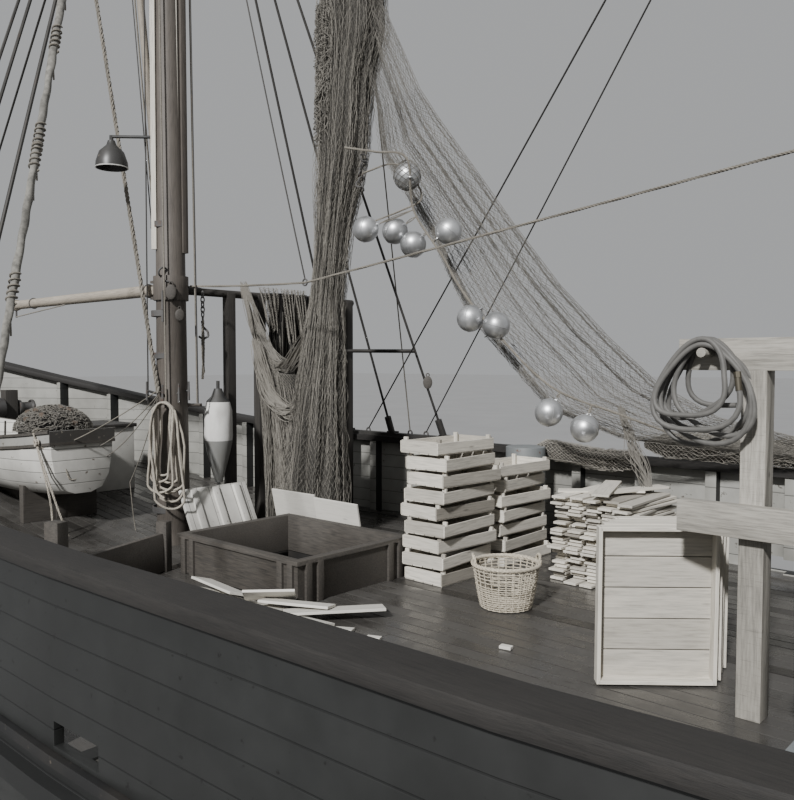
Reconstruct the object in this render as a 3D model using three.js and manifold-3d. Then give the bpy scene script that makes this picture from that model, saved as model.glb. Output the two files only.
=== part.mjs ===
// Wooden fishing trawler, the whole vessel.
// Millimetres; +X forward, +Y to port, +Z up; z = 0 is the waterline.
import * as THREE from 'three';
import { mergeVertices } from 'three/addons/utils/BufferGeometryUtils.js';
import Module from 'manifold-3d';

const wasm = await Module();
wasm.setup();

// Driving dimensions
const DECK_Z = 950; // working deck above the waterline
const DECK_THICKNESS = 60;
const RUN_GAP = 0.3; // gap that pieces keep where one rests on another
const JOINT_GAP = 6; // running clearance of what moves
const KEEL_Z = -2200;
const KEEL_HALF = 120;
const BULWARK_INSET = 30;
const BULWARK_THICKNESS = 50;
const RAIL_THICKNESS = 65;
const RAIL_WIDTH = 210;
const STANCHION = 100;
const MAST_X = 3000;
const MAST_RADIUS = 165;
const MAST_HEIGHT = 10500;
const HOUNDS = 8900; // height of the shroud band above the working deck
const BOOM_HEIGHT = 2570;
const SHROUD_FEET = { port: [3200, 2400, 1200], starboard: [3200, 2510, 1750] };

// Hull stations from the stern to the bow. Columns: x, half breadth at the deck,
// bottom of the planked body, deck height, bulwark height, fullness, flare
const STATIONS = [
  [-9150, 420, 640, 1195, 900, 1.6, 1.5],
  [-8950, 900, 380, 1175, 890, 1.7, 1.5],
  [-8500, 1440, 60, 1135, 880, 1.8, 1.5],
  [-7700, 1960, -520, 1070, 870, 1.9, 1.4],
  [-6600, 2390, -1150, 1000, 860, 2.1, 1.4],
  [-5000, 2720, -1500, 950, 850, 2.4, 1.5],
  [-3000, 2890, -1680, 950, 850, 2.6, 1.6],
  [-500, 2950, -1750, 950, 850, 2.7, 1.7],
  [1800, 2930, -1750, 950, 860, 2.6, 1.6],
  [3600, 2760, -1700, 950, 880, 2.3, 1.5],
  [5200, 2370, -1600, 1110, 910, 1.9, 1.35],
  [6600, 1780, -1380, 1330, 940, 1.6, 1.2],
  [7700, 1120, -960, 1560, 970, 1.4, 1.1],
  [8500, 530, -330, 1760, 1000, 1.3, 1.0],
  [8950, 170, 520, 1880, 1020, 1.2, 1.0],
];
const [AFT_X, FORE_X] = [STATIONS[0][0], STATIONS.at(-1)[0]];

// The station at any x, straight between the rows of the table
function station(x) {
  const k = Math.max(1, STATIONS.findIndex((row) => row[0] >= x));
  const [a, b] = [STATIONS[k - 1], STATIONS[k]];
  const t = (x - a[0]) / (b[0] - a[0]);
  const [, half, bottom, deck, bulwark, fullness, flare] = a.map((v, i) => v + t * (b[i] - v));
  return { x, half, bottom, deck, bulwark, fullness, flare };
}
const stationsBetween = (x0, x1) =>
  [x0, ...STATIONS.map((row) => row[0]).filter((x) => x > x0 && x < x1), x1].map(station);

// Geometry becomes a solid that can be joined and cut
function solid(geometry) {
  const plain = geometry.index ? geometry.toNonIndexed() : geometry.clone();
  plain.deleteAttribute('normal');
  plain.deleteAttribute('uv');
  const merged = mergeVertices(plain, 1e-3);
  const made = new wasm.Manifold(new wasm.Mesh({
    numProp: 3,
    vertProperties: merged.attributes.position.array,
    triVerts: new Uint32Array(merged.index.array),
  }));
  if (made.volume() <= 0) throw new Error('a shape is inside out');
  return made;
}
const join = (...pieces) => pieces.flat().reduce((all, piece) => all.add(piece));
const cut = (body, ...pieces) => pieces.flat().reduce((all, piece) => all.subtract(piece), body);

function boxGeometry(x0, x1, y0, y1, z0, z1) {
  return new THREE.BoxGeometry(x1 - x0, y1 - y0, z1 - z0)
    .translate((x0 + x1) / 2, (y0 + y1) / 2, (z0 + z1) / 2);
}
const box = (...sides) => solid(boxGeometry(...sides));

// A box of size [length, width, height] on a centre, turned about the vertical by an angle
const turnedBox = ([length, width, height], [x, y, z], angle) =>
  solid(new THREE.BoxGeometry(length, width, height).rotateZ(angle).translate(x, y, z));

// A round bar between two points
function rod(from, to, radius, endRadius = radius, sides = 10) {
  const [a, b] = [new THREE.Vector3(...from), new THREE.Vector3(...to)];
  const along = b.clone().sub(a);
  const turn = new THREE.Quaternion().setFromUnitVectors(
    new THREE.Vector3(0, 1, 0), along.clone().normalize());
  const centre = a.clone().add(b).multiplyScalar(0.5);
  return solid(new THREE.CylinderGeometry(endRadius, radius, along.length(), sides)
    .applyQuaternion(turn).translate(centre.x, centre.y, centre.z));
}
const ball = ([x, y, z], radius, around = 12, down = 8) =>
  solid(new THREE.SphereGeometry(radius, around, down).rotateX(Math.PI / 2).translate(x, y, z));

// A profile of [radius, height] points turned about a vertical axis
function turned(profile, [x, y, z], sides = 16) {
  const points = profile.map(([radius, height]) => new THREE.Vector2(radius, height));
  return solid(new THREE.LatheGeometry(points, sides).rotateX(Math.PI / 2).translate(x, y, z));
}

// An outline of [x, z] points extruded athwartships
function plateXZ(outline, y0, y1) {
  const shape = new THREE.Shape(outline.map(([x, z]) => new THREE.Vector2(x, z)));
  return solid(new THREE.ExtrudeGeometry(shape, { depth: y1 - y0, bevelEnabled: false })
    .rotateX(Math.PI / 2).translate(0, y1, 0));
}
// An outline of [y, z] points extruded fore and aft
function plateYZ(outline, x0, x1) {
  const shape = new THREE.Shape(outline.map(([y, z]) => new THREE.Vector2(y, z)));
  return solid(new THREE.ExtrudeGeometry(shape, { depth: x1 - x0, bevelEnabled: false })
    .rotateX(Math.PI / 2).rotateZ(Math.PI / 2).translate(x0, 0, 0));
}

// A skin through rings of [x, y, z] points, closed at both ends
function loft(rings) {
  const count = rings[0].length;
  const points = rings.flat();
  const faces = [];
  for (let r = 0; r < rings.length - 1; r++) {
    for (let i = 0; i < count; i++) {
      const [a, b] = [r * count + i, r * count + (i + 1) % count];
      faces.push([a, b, b + count], [a, b + count, a + count]);
    }
  }
  for (const [start, turn] of [[0, 1], [(rings.length - 1) * count, -1]]) {
    const ring = points.slice(start, start + count).map((p) => new THREE.Vector3(...p));
    const normal = new THREE.Vector3();
    ring.forEach((p, i) => {
      normal.add(p.clone().cross(ring[(i + 1) % count]));
    });
    const drop = ['x', 'y', 'z'].reduce((best, axis) =>
      (Math.abs(normal[axis]) > Math.abs(normal[best]) ? axis : best), 'x');
    const [u, v] = ['x', 'y', 'z'].filter((axis) => axis !== drop);
    const flat = ring.map((p) => new THREE.Vector2(p[u], p[v]));
    const clockwise = THREE.ShapeUtils.isClockWise(flat);
    const sameTurn = (clockwise ? -1 : 1) * turn;
    const contour = clockwise ? [...flat].reverse() : flat;
    const real = (i) => start + (clockwise ? count - 1 - i : i);
    for (const [a, b, c] of THREE.ShapeUtils.triangulateShape(contour, [])) {
      faces.push(sameTurn > 0 ? [real(a), real(c), real(b)] : [real(a), real(b), real(c)]);
    }
  }
  const build = (list) => {
    const geometry = new THREE.BufferGeometry();
    geometry.setAttribute('position',
      new THREE.Float32BufferAttribute(list.flat().flatMap((i) => points[i]), 3));
    return geometry;
  };
  const volume = faces.reduce((sum, [a, b, c]) => sum
    + new THREE.Vector3(...points[a]).dot(new THREE.Vector3(...points[b])
      .cross(new THREE.Vector3(...points[c]))), 0);
  return solid(build(volume > 0 ? faces : faces.map(([a, b, c]) => [a, c, b])));
}

// A bar of round section swept along a curve
function sweep(points, radius, sides = 8, steps = 24) {
  const section = new THREE.Shape(Array.from({ length: sides }, (_, i) => new THREE.Vector2(
    radius * Math.cos((i / sides) * 2 * Math.PI), radius * Math.sin((i / sides) * 2 * Math.PI))));
  const extrudePath = new THREE.CatmullRomCurve3(points.map((p) => new THREE.Vector3(...p)));
  return solid(new THREE.ExtrudeGeometry(section, { steps, extrudePath, bevelEnabled: false }));
}

// Everything below the deck's surface, to seat a piece on the sheer
const belowDeck = loft(stationsBetween(AFT_X, FORE_X).map(({ x, half, deck }) => [
  [x, -half - 500, deck - 600], [x, half + 500, deck - 600],
  [x, half + 500, deck + RUN_GAP], [x, -half - 500, deck + RUN_GAP]]));
const onDeck = (piece) => piece.subtract(belowDeck);

// Finishes: colour, roughness, metalness
const FINISH = {
  hullPaint: [0x2d3b36, 0.6, 0],
  whitePaint: [0xd9d7cf, 0.55, 0],
  greyPaint: [0x7d8588, 0.5, 0],
  brownPaint: [0x5d4a38, 0.6, 0],
  deckWood: [0x6f6252, 0.75, 0],
  spar: [0xb39f7e, 0.65, 0],
  darkSpar: [0x6a5845, 0.65, 0],
  rawWood: [0xc9b58f, 0.8, 0],
  wornWood: [0x7d6a52, 0.8, 0],
  steel: [0x6d6f70, 0.5, 0.7],
  wire: [0x4c4a47, 0.6, 0.5],
  float: [0xb9bcbd, 0.35, 0.9],
  net: [0x9c8f78, 0.95, 0],
  rope: [0xa08b66, 0.95, 0],
  wicker: [0xa98d5e, 0.9, 0],
  rubber: [0x35342f, 0.7, 0],
  bronze: [0x9a7b45, 0.4, 0.9],
};
const vessel = new THREE.Group();
function add(name, piece, finish) {
  const mesh = piece.getMesh();
  const geometry = new THREE.BufferGeometry();
  geometry.setAttribute('position', new THREE.BufferAttribute(mesh.vertProperties, 3));
  geometry.setIndex(new THREE.BufferAttribute(mesh.triVerts, 1));
  geometry.computeVertexNormals();
  const [color, roughness, metalness] = FINISH[finish];
  const made = new THREE.Mesh(geometry,
    new THREE.MeshStandardMaterial({ color, roughness, metalness }));
  made.name = name;
  vessel.add(made);
}

// Planked hull body
const BELT = { out: 55, top: 60, height: 130 };
const BILGE_STEPS = 8;
function hullRing({ x, half, bottom, deck, fullness, flare }, grow = 0) {
  const top = deck - DECK_THICKNESS;
  const side = [];
  for (let j = 1; j <= BILGE_STEPS; j++) {
    const s = (j / BILGE_STEPS) ** 1.5 * 0.86;
    side.push([half * (1 - (1 - s) ** fullness) ** (1 / flare), bottom + s * (top - bottom)]);
  }
  side.push([half - 4, top - BELT.top - BELT.height], [half + BELT.out, top - BELT.top - BELT.height + 15],
    [half + BELT.out, top - BELT.top], [half, top - BELT.top + 10], [half, top]);
  const grown = side.map(([y, z]) => [y + grow, z]);
  return [
    [x, 0, bottom - grow],
    ...grown.map(([y, z]) => [x, y, z]),
    ...grown.reverse().map(([y, z]) => [x, -y, z]),
  ];
}
const hullBody = loft(STATIONS.map(([x]) => hullRing(station(x))));
const hullGrown = loft(STATIONS.map(([x]) => {
  const at = x === FORE_X ? x + RUN_GAP : x;
  return hullRing({ ...station(x), x: at }, RUN_GAP);
}));

// Hold under the hatch and engine room under the casing
const HATCH = { x0: 390, x1: 1940, half: 620, board: 60, height: 340 };
const HOLD = { x0: -600, x1: 2500, half: 1250, floor: -850 };
const CASING = { x0: -8000, x1: -4400, half: 1150, top: 1700, wall: 60, roof: 50 };
const ENGINE_ROOM = { x0: -6500, x1: -4600, half: 650, floor: -620 };
const ENGINE = { x0: -6200, x1: -4900, half: 330, height: 1150 };
const RUDDER = { x: -7900, stock: 50, top: 300, chord: 780, half: 45 };
const SHAFT = { x: -7400, z: -1340, radius: 45, blades: 4, reach: 540 };

const hatchWell = box(HATCH.x0 + HATCH.board, HATCH.x1 - HATCH.board,
  -HATCH.half + HATCH.board, HATCH.half - HATCH.board, HOLD.floor + 50, DECK_Z + 200);
const hold = box(HOLD.x0, HOLD.x1, -HOLD.half, HOLD.half, HOLD.floor, DECK_Z - 200);
const engineRoom = box(ENGINE_ROOM.x0, ENGINE_ROOM.x1, -ENGINE_ROOM.half, ENGINE_ROOM.half,
  ENGINE_ROOM.floor, DECK_Z + 200);
const stockBore = rod([RUDDER.x, 0, -900], [RUDDER.x, 0, RUDDER.top + 60],
  RUDDER.stock + JOINT_GAP, RUDDER.stock + JOINT_GAP, 16);
add('hull', cut(hullBody, hatchWell, hold, engineRoom, stockBore), 'hullPaint');
add('engine', box(ENGINE.x0, ENGINE.x1, -ENGINE.half, ENGINE.half,
  ENGINE_ROOM.floor + RUN_GAP, ENGINE_ROOM.floor + ENGINE.height), 'greyPaint');

// Keel, stem and sternpost with the propeller's aperture and the rudder's shoe
const SHOE_TOP = KEEL_Z + 120;
const POST_X = -7090;
const backbone = plateXZ([
  [-8250, KEEL_Z], [POST_X, KEEL_Z], [6000, KEEL_Z + 330], [7300, -1680], [8250, -1120], [8850, -250],
  [9130, 800], [9250, 2000], [9280, 3080], [FORE_X + RUN_GAP, 3080], [FORE_X + RUN_GAP, 600],
  [8300, 500], [7200, -400], [5000, -900], [-5000, -900], [-7000, -300], [POST_X, -300],
  [POST_X, SHOE_TOP], [-8250, SHOE_TOP],
], -KEEL_HALF, KEEL_HALF);
const shaftBore = rod([POST_X - 50, 0, SHAFT.z], [POST_X + 420, 0, SHAFT.z],
  SHAFT.radius + JOINT_GAP, SHAFT.radius + JOINT_GAP, 16);
const PINTLE = { radius: 28, depth: 60 };
const pintleHole = rod([RUDDER.x, 0, SHOE_TOP - PINTLE.depth - 20], [RUDDER.x, 0, SHOE_TOP + 20],
  PINTLE.radius + JOINT_GAP, PINTLE.radius + JOINT_GAP, 12);
const sternCut = box(-8250, POST_X, -200, 200, SHOE_TOP, 600);
add('keel', cut(backbone, hullGrown, shaftBore, pintleHole, sternCut), 'hullPaint');

// Rudder: blade, stock and heel pintle
const bladeTop = -560;
const bladeFoot = SHOE_TOP + 12;
const blade = plateXZ([
  [RUDDER.x + 60, bladeFoot], [RUDDER.x + 60, bladeTop], [RUDDER.x - 200, bladeTop + 60],
  [RUDDER.x - RUDDER.chord, bladeTop - 250], [RUDDER.x - RUDDER.chord, bladeFoot + 320],
  [RUDDER.x - 320, bladeFoot],
], -RUDDER.half, RUDDER.half);
add('rudder', join(blade,
  rod([RUDDER.x, 0, bladeTop - 300], [RUDDER.x, 0, RUDDER.top], RUDDER.stock, RUDDER.stock, 16),
  rod([RUDDER.x, 0, SHOE_TOP - PINTLE.depth], [RUDDER.x, 0, bladeFoot + 60],
    PINTLE.radius, PINTLE.radius, 12),
  rod([RUDDER.x, 0, SHOE_TOP + RUN_GAP], [RUDDER.x, 0, bladeFoot + 20], 55, 55, 12)), 'hullPaint');

// Propeller: hub with shaft and pitched blades
const propellerBlade = (k) => {
  const angle = (k / SHAFT.blades) * 2 * Math.PI;
  const outline = [[-70, 60], [-150, 260], [-130, 450], [0, SHAFT.reach], [120, 470], [130, 250], [70, 60]];
  const shape = new THREE.Shape(outline.map(([across, out]) => new THREE.Vector2(across, out)));
  return solid(new THREE.ExtrudeGeometry(shape, { depth: 22, bevelEnabled: false })
    .translate(0, 0, -11).rotateX(Math.PI / 2).rotateZ(0.95)
    .rotateX(angle).translate(SHAFT.x, 0, SHAFT.z));
};
add('propeller', join(
  rod([SHAFT.x - 130, 0, SHAFT.z], [SHAFT.x + 110, 0, SHAFT.z], 60, 95, 16),
  rod([SHAFT.x, 0, SHAFT.z], [POST_X + 380, 0, SHAFT.z], SHAFT.radius, SHAFT.radius, 16),
  rod([POST_X - 40, 0, SHAFT.z], [POST_X - RUN_GAP, 0, SHAFT.z], 75, 75, 16),
  Array.from({ length: SHAFT.blades }, (_, k) => propellerBlade(k))), 'bronze');

// Deck planking with the hatch and the casing opening
const deckSlab = loft(STATIONS.map(([x]) => station(x)).map(({ x, half, deck }) => [
  [x, -half, deck - DECK_THICKNESS + RUN_GAP], [x, half, deck - DECK_THICKNESS + RUN_GAP],
  [x, half, deck], [x, -half, deck]]));
add('deck', cut(deckSlab, hatchWell, engineRoom), 'deckWood');

// Bulwarks: planking, stanchions and freeing ports
const STANCHION_XS = Array.from({ length: 24 }, (_, i) => -8300 + i * 690);
const FREEING_PORTS = [-4850, -3470, -2090, -710, 670, 2050];
function bulwark(side) {
  const wall = loft(stationsBetween(AFT_X, FORE_X).map(({ x, half, deck, bulwark: height }) => {
    const outer = side * (half - BULWARK_INSET);
    const inner = side * (half - BULWARK_INSET - BULWARK_THICKNESS);
    return [[x, outer, deck - 200], [x, inner, deck - 200],
      [x, inner, deck + height], [x, outer, deck + height]];
  }));
  const posts = STANCHION_XS.map((x) => {
    const { half, deck, bulwark: height } = station(x);
    const face = half - BULWARK_INSET - BULWARK_THICKNESS;
    const [y0, y1] = [side * (face + 25), side * (face - STANCHION)].sort((a, b) => a - b);
    const low = Math.min(...[x - STANCHION / 2, x + STANCHION / 2].map(
      (at) => station(at).deck + station(at).bulwark));
    return box(x - STANCHION / 2, x + STANCHION / 2, y0, y1, deck - 200, Math.min(low, deck + height));
  });
  const stern = station(AFT_X);
  const [y0, y1] = [side * 0.3, side * (stern.half - BULWARK_INSET - 10)].sort((a, b) => a - b);
  const transom = box(AFT_X, AFT_X + BULWARK_THICKNESS, y0, y1, stern.deck - 100,
    station(AFT_X + BULWARK_THICKNESS).deck + station(AFT_X + BULWARK_THICKNESS).bulwark);
  const ports = FREEING_PORTS.map((x) => {
    const { half, deck } = station(x);
    const [p0, p1] = [side * (half - 300), side * (half + 200)].sort((a, b) => a - b);
    return box(x - 200, x + 200, p0, p1, deck + 25, deck + 145);
  });
  return onDeck(cut(join(wall, posts, transom), ports));
}
add('bulwark_port', bulwark(1), 'hullPaint');
add('bulwark_starboard', bulwark(-1), 'hullPaint');

// Cap rail all round
const railRing = ({ x, deck, bulwark: height }, y0, y1) => {
  const foot = deck + height + RUN_GAP;
  return [[x, y0, foot], [x, y1, foot], [x, y1, foot + RAIL_THICKNESS], [x, y0, foot + RAIL_THICKNESS]];
};
const RAIL_OVERHANG = 15;
const railSide = (side) => loft(stationsBetween(AFT_X, FORE_X).map((at) => railRing(at,
  side * (at.half + RAIL_OVERHANG), side * Math.max(at.half + RAIL_OVERHANG - RAIL_WIDTH, 20))));
const railBlock = (x0, x1) => loft([x0, x1].map(station).map((at) => railRing(at, -at.half, at.half)));
add('cap_rail', join(railSide(1), railSide(-1), railBlock(AFT_X, AFT_X + 200),
  railBlock(8600, FORE_X)), 'brownPaint');

// Mast with its shroud band, goosenecks, cleats and chafing battens
const deckTop = DECK_Z + RUN_GAP;
const above = (h) => DECK_Z + h;
const MAST_TOP_RADIUS = 85;
const BAND_RADIUS = 135; // shroud band at the hounds
const COLLAR_RADIUS = 172;
const BOOM_PIVOT_X = MAST_X + MAST_RADIUS + 100;
const DERRICK = { y: -100, height: 2860, lug: 70, lean: 0.142, length: 4900, radius: 42 };
const PIN_HEIGHT = 1400;
const PIN_RADIUS = 16;
const derrickLug = [above(DERRICK.height - DERRICK.lug), above(DERRICK.height + DERRICK.lug)];
const gooseneck = (h, y) => join(
  box(MAST_X, BOOM_PIVOT_X + 45, y - 45, y + 45, above(h) - 95, above(h) - 70),
  box(MAST_X, BOOM_PIVOT_X + 45, y - 45, y + 45, above(h) + 70, above(h) + 95));
add('mast', join(
  rod([MAST_X, 0, deckTop], [MAST_X, 0, above(MAST_HEIGHT)], MAST_RADIUS, MAST_TOP_RADIUS, 20),
  rod([MAST_X, 0, above(HOUNDS - 60)], [MAST_X, 0, above(HOUNDS + 60)], BAND_RADIUS, BAND_RADIUS, 20),
  rod([MAST_X, 0, above(2450)], [MAST_X, 0, above(2690)], COLLAR_RADIUS, COLLAR_RADIUS, 20),
  rod([MAST_X, 0, above(MAST_HEIGHT - 5)], [MAST_X, 0, above(MAST_HEIGHT + 40)], 110, 110, 20),
  gooseneck(BOOM_HEIGHT, 0),
  box(MAST_X + 60, MAST_X + 170, DERRICK.y - 75, 0, ...derrickLug),
  box(MAST_X + 60, BOOM_PIVOT_X + 45, DERRICK.y - 75, DERRICK.y - 52, ...derrickLug),
  box(MAST_X + 60, BOOM_PIVOT_X + 45, DERRICK.y + 52, DERRICK.y + 75, ...derrickLug),
  box(MAST_X - 150, MAST_X - 90, -110, -50, above(2920), above(8000)),
  rod([MAST_X - 60, 60, above(PIN_HEIGHT)], [MAST_X - 210, 240, above(PIN_HEIGHT)], PIN_RADIUS),
  rod([MAST_X - 60, -60, above(PIN_HEIGHT)], [MAST_X - 180, -230, above(PIN_HEIGHT)], PIN_RADIUS)),
'darkSpar');

// Boom, forward of the mast
const BOOM = { length: 3400, radius: 62 };
add('boom', join(
  rod([BOOM_PIVOT_X + 90, 0, above(BOOM_HEIGHT)], [BOOM_PIVOT_X + BOOM.length, 0, above(BOOM_HEIGHT)],
    BOOM.radius, BOOM.radius - 6, 14),
  rod([BOOM_PIVOT_X + BOOM.length - 120, 0, above(BOOM_HEIGHT)],
    [BOOM_PIVOT_X + BOOM.length - 70, 0, above(BOOM_HEIGHT)], BOOM.radius + 8, BOOM.radius + 8, 14),
  rod([BOOM_PIVOT_X, 0, above(BOOM_HEIGHT) - 70 + RUN_GAP],
    [BOOM_PIVOT_X, 0, above(BOOM_HEIGHT) + 70 - RUN_GAP], 28, 28, 12),
  box(BOOM_PIVOT_X, BOOM_PIVOT_X + 180, -18, 18, above(BOOM_HEIGHT) - 40, above(BOOM_HEIGHT) + 40)),
'spar');

// Derrick, topped up and leaning forward
const derrickFoot = [BOOM_PIVOT_X, DERRICK.y, above(DERRICK.height)];
const derrickAlong = (d) => [derrickFoot[0] + d * Math.sin(DERRICK.lean), DERRICK.y,
  derrickFoot[2] + d * Math.cos(DERRICK.lean)];
const derrickBand = (d) => [derrickAlong(d)[0], DERRICK.y + 1.5, derrickAlong(d)[2]];
add('derrick', join(
  rod(derrickAlong(60), derrickAlong(DERRICK.length), DERRICK.radius, DERRICK.radius - 8, 14),
  rod([BOOM_PIVOT_X, DERRICK.y - 52 + RUN_GAP, derrickFoot[2]],
    [BOOM_PIVOT_X, DERRICK.y + 52 - RUN_GAP, derrickFoot[2]], 26, 26, 12),
  rod(derrickAlong(-30), derrickAlong(100), 30, 30, 8),
  rod(derrickBand(DERRICK.length - 90), derrickBand(DERRICK.length - 50), 50, 50, 13)), 'spar');

// Standing rigging: forestay, and shrouds with their lanyard battens
const STAY = 14;
const houndsZ = above(HOUNDS);
const stemHead = [9115, 0, 3080];
const stayTop = [MAST_X + BAND_RADIUS + RUN_GAP + STAY + 2, 0, houndsZ];
add('forestay', join(
  rod(stayTop, [stemHead[0], 0, stemHead[2] + 120], STAY, STAY, 8),
  box(stemHead[0] - 60, stemHead[0] + 60, -40, 40, stemHead[2] + RUN_GAP, stemHead[2] + 150)), 'wire');
const railTop = (x) => station(x).deck + station(x).bulwark + RAIL_THICKNESS + RUN_GAP;
function shrouds(side, feetX) {
  const feet = feetX.map((x) => [x, side * (station(x).half - 90), railTop(x)]);
  const top = [MAST_X, side * (BAND_RADIUS + 45), houndsZ - 10];
  const at = (foot, t) => foot.map((v, i) => v + t * (top[i] - v));
  const lines = feet.map((foot) => rod(at(foot, 0.015), top, STAY, STAY, 8));
  const deadeyes = feet.map((foot) => rod(at(foot, 0.0), at(foot, 0.03), 40, 40, 10));
  const battenAt = 0.13;
  const batten = rod(at(feet[0], battenAt), at(feet[2], battenAt), 22, 22, 8);
  const [eye0, eye1] = [side * (BAND_RADIUS + RUN_GAP + 1), side * (BAND_RADIUS + 70)].sort((a, b) => a - b);
  const eye = box(MAST_X - 50, MAST_X + 50, eye0, eye1, houndsZ - 60, houndsZ + 20);
  const shoes = feet.map(([x, y]) => box(x - 60, x + 60, y - 45, y + 45, railTop(x) + 12, railTop(x) + 60));
  const rails = loft(stationsBetween(feetX[2] - 150, feetX[0] + 150).map(({ x, half }) => {
    const [y0, y1] = [side * (half - 150), side * (half - 40)];
    const foot = railTop(x) + RUN_GAP;
    return [[x, y0, foot], [x, y1, foot], [x, y1, foot + 40], [x, y0, foot + 40]];
  }));
  const belowRail = loft(stationsBetween(500, 4500).map(({ x, half }) => [
    [x, -half - 300, 0], [x, half + 300, 0],
    [x, half + 300, railTop(x) + RUN_GAP], [x, -half - 300, railTop(x) + RUN_GAP]]));
  return join(lines, deadeyes, batten, eye, shoes, rails).subtract(belowRail);
}
add('shrouds_port', shrouds(1, SHROUD_FEET.port), 'wire');
add('shrouds_starboard', shrouds(-1, SHROUD_FEET.starboard), 'wire');

// Net rack: two deck posts, a post at the bulwark and a crossbeam to the mast
const RACK = { height: 2560, radius: 40, post: 50, ys: [-710, -1120, -2480], end: -2560 };
add('net_rack', onDeck(join(
  rod([MAST_X, -COLLAR_RADIUS - 2 * RUN_GAP, above(RACK.height)], [MAST_X, RACK.end, above(RACK.height)],
    RACK.radius, RACK.radius, 12),
  RACK.ys.map((y) => box(MAST_X - RACK.post, MAST_X + RACK.post, y - RACK.post, y + RACK.post,
    DECK_Z - 50, above(RACK.height) + 10)))), 'wornWood');

// Hatch coaming with slotted corners, and the cover that lies off it
const slotPair = (x, y, alongX) => [-60, 60].map((d) => (alongX
  ? box(x + d - 30, x + d + 30, y - 22, y + 22, deckTop, above(HATCH.height - 25))
  : box(x - 22, x + 22, y + d - 30, y + d + 30, deckTop, above(HATCH.height - 25))));
const coamingWall = cut(
  box(HATCH.x0, HATCH.x1, -HATCH.half, HATCH.half, deckTop, above(HATCH.height)),
  box(HATCH.x0 + HATCH.board, HATCH.x1 - HATCH.board, -HATCH.half + HATCH.board,
    HATCH.half - HATCH.board, 0, above(HATCH.height) + 50));
const coamingRim = cut(
  box(HATCH.x0 - 20, HATCH.x1 + 20, -HATCH.half - 20, HATCH.half + 20,
    above(HATCH.height - 35), above(HATCH.height)),
  box(HATCH.x0 + 30, HATCH.x1 - 30, -HATCH.half + 30, HATCH.half - 30, 0, above(HATCH.height) + 50));
add('hatch_coaming', join(coamingWall, coamingRim,
  ...[1, -1].map((side) => [
    ...slotPair(HATCH.x0 + 130, side * HATCH.half, true),
    ...slotPair(HATCH.x1 - 130, side * HATCH.half, true)]),
  ...[1, -1].map((side) => [
    ...slotPair(HATCH.x0, side * (HATCH.half - 160), false),
    ...slotPair(HATCH.x1, side * (HATCH.half - 160), false)])), 'wornWood');

const COVER = { length: 800, width: 620, thick: 40, lean: 0.5 };
const mastRadius = (h) => MAST_RADIUS + (h / MAST_HEIGHT) * (MAST_TOP_RADIUS - MAST_RADIUS);
const coverFootX = MAST_X - mastRadius(544) - COVER.width * Math.sin(COVER.lean) - 2 * RUN_GAP;
add('hatch_cover', join(
  solid(boxGeometry(-COVER.thick, 0, -COVER.length / 2, COVER.length / 2, 0, COVER.width)
    .rotateY(COVER.lean).translate(coverFootX, -350, deckTop)),
  [-260, 0, 260].map((y) => solid(boxGeometry(
    -COVER.thick - 25, -COVER.thick + 5, y - 35, y + 35, 20, COVER.width - 20)
    .rotateY(COVER.lean).translate(coverFootX, -350, deckTop)))), 'whitePaint');

// Pound board in its slotted stanchions
const POUND = { from: [1640, 1870], to: [2070, 700], height: 340, thick: 50, post: 60 };
const poundAngle = Math.atan2(POUND.to[1] - POUND.from[1], POUND.to[0] - POUND.from[0]);
const poundLength = Math.hypot(POUND.to[0] - POUND.from[0], POUND.to[1] - POUND.from[1]);
const poundMid = [(POUND.from[0] + POUND.to[0]) / 2, (POUND.from[1] + POUND.to[1]) / 2];
add('pound_board', onDeck(join(
  turnedBox([poundLength, POUND.thick, POUND.height + 40],
    [...poundMid, above(POUND.height / 2 - 20)], poundAngle),
  turnedBox([110, 130, 700], [...POUND.from, above(310)], poundAngle),
  turnedBox([80, 110, 480], [...POUND.to, above(200)], poundAngle))), 'wornWood');

// Skiff on its chocks, an open shell with thwarts.
// Columns: x from the transom, half breadth, keel height, gunwale height
const SKIFF = { x: 4100, y: 400, z: 1330, wall: 30 };
const SKIFF_STATIONS = [
  [0, 350, 60, 740], [350, 500, 20, 700], [700, 565, 0, 670], [1500, 600, 0, 650], [2200, 500, 20, 670],
  [2750, 250, 90, 730], [3000, 60, 220, 790],
];
const SKIFF_SECTION = [[0.25, 0], [0.62, 0.07], [0.86, 0.28], [0.97, 0.62]];
const skiffRing = ([x, half, keel, top], inset = 0, drop = 0) => {
  const h = Math.max(half - inset, 12);
  const low = keel + inset;
  const side = [...SKIFF_SECTION.map(([out, up]) => [h * out, low + (top - low) * up]), [h, top - drop]];
  const ring = [...side, ...side.map(([y, z]) => [-y, z]).reverse()];
  return ring.map(([y, z]) => [SKIFF.x + x, SKIFF.y + y, SKIFF.z + z]);
};
const skiffShell = cut(
  loft(SKIFF_STATIONS.map((row) => skiffRing(row))),
  loft(SKIFF_STATIONS.map(([x, ...rest]) =>
    skiffRing([Math.min(Math.max(x, SKIFF.wall), 2900), ...rest], SKIFF.wall, -60))));
const thwart = (x) => {
  const row = SKIFF_STATIONS.find(([at]) => at >= x);
  return box(SKIFF.x + x - 110, SKIFF.x + x + 110, SKIFF.y - row[1] * 0.93, SKIFF.y + row[1] * 0.93,
    SKIFF.z + 400, SKIFF.z + 425);
};
add('skiff', join(skiffShell, thwart(700), thwart(1500)), 'whitePaint');
const chock = (x) => cut(
  box(x - 45, x + 45, SKIFF.y - 420, SKIFF.y + 420, DECK_Z - 100, SKIFF.z + 130),
  loft(SKIFF_STATIONS.map((row) => skiffRing(row, -RUN_GAP))));
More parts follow.
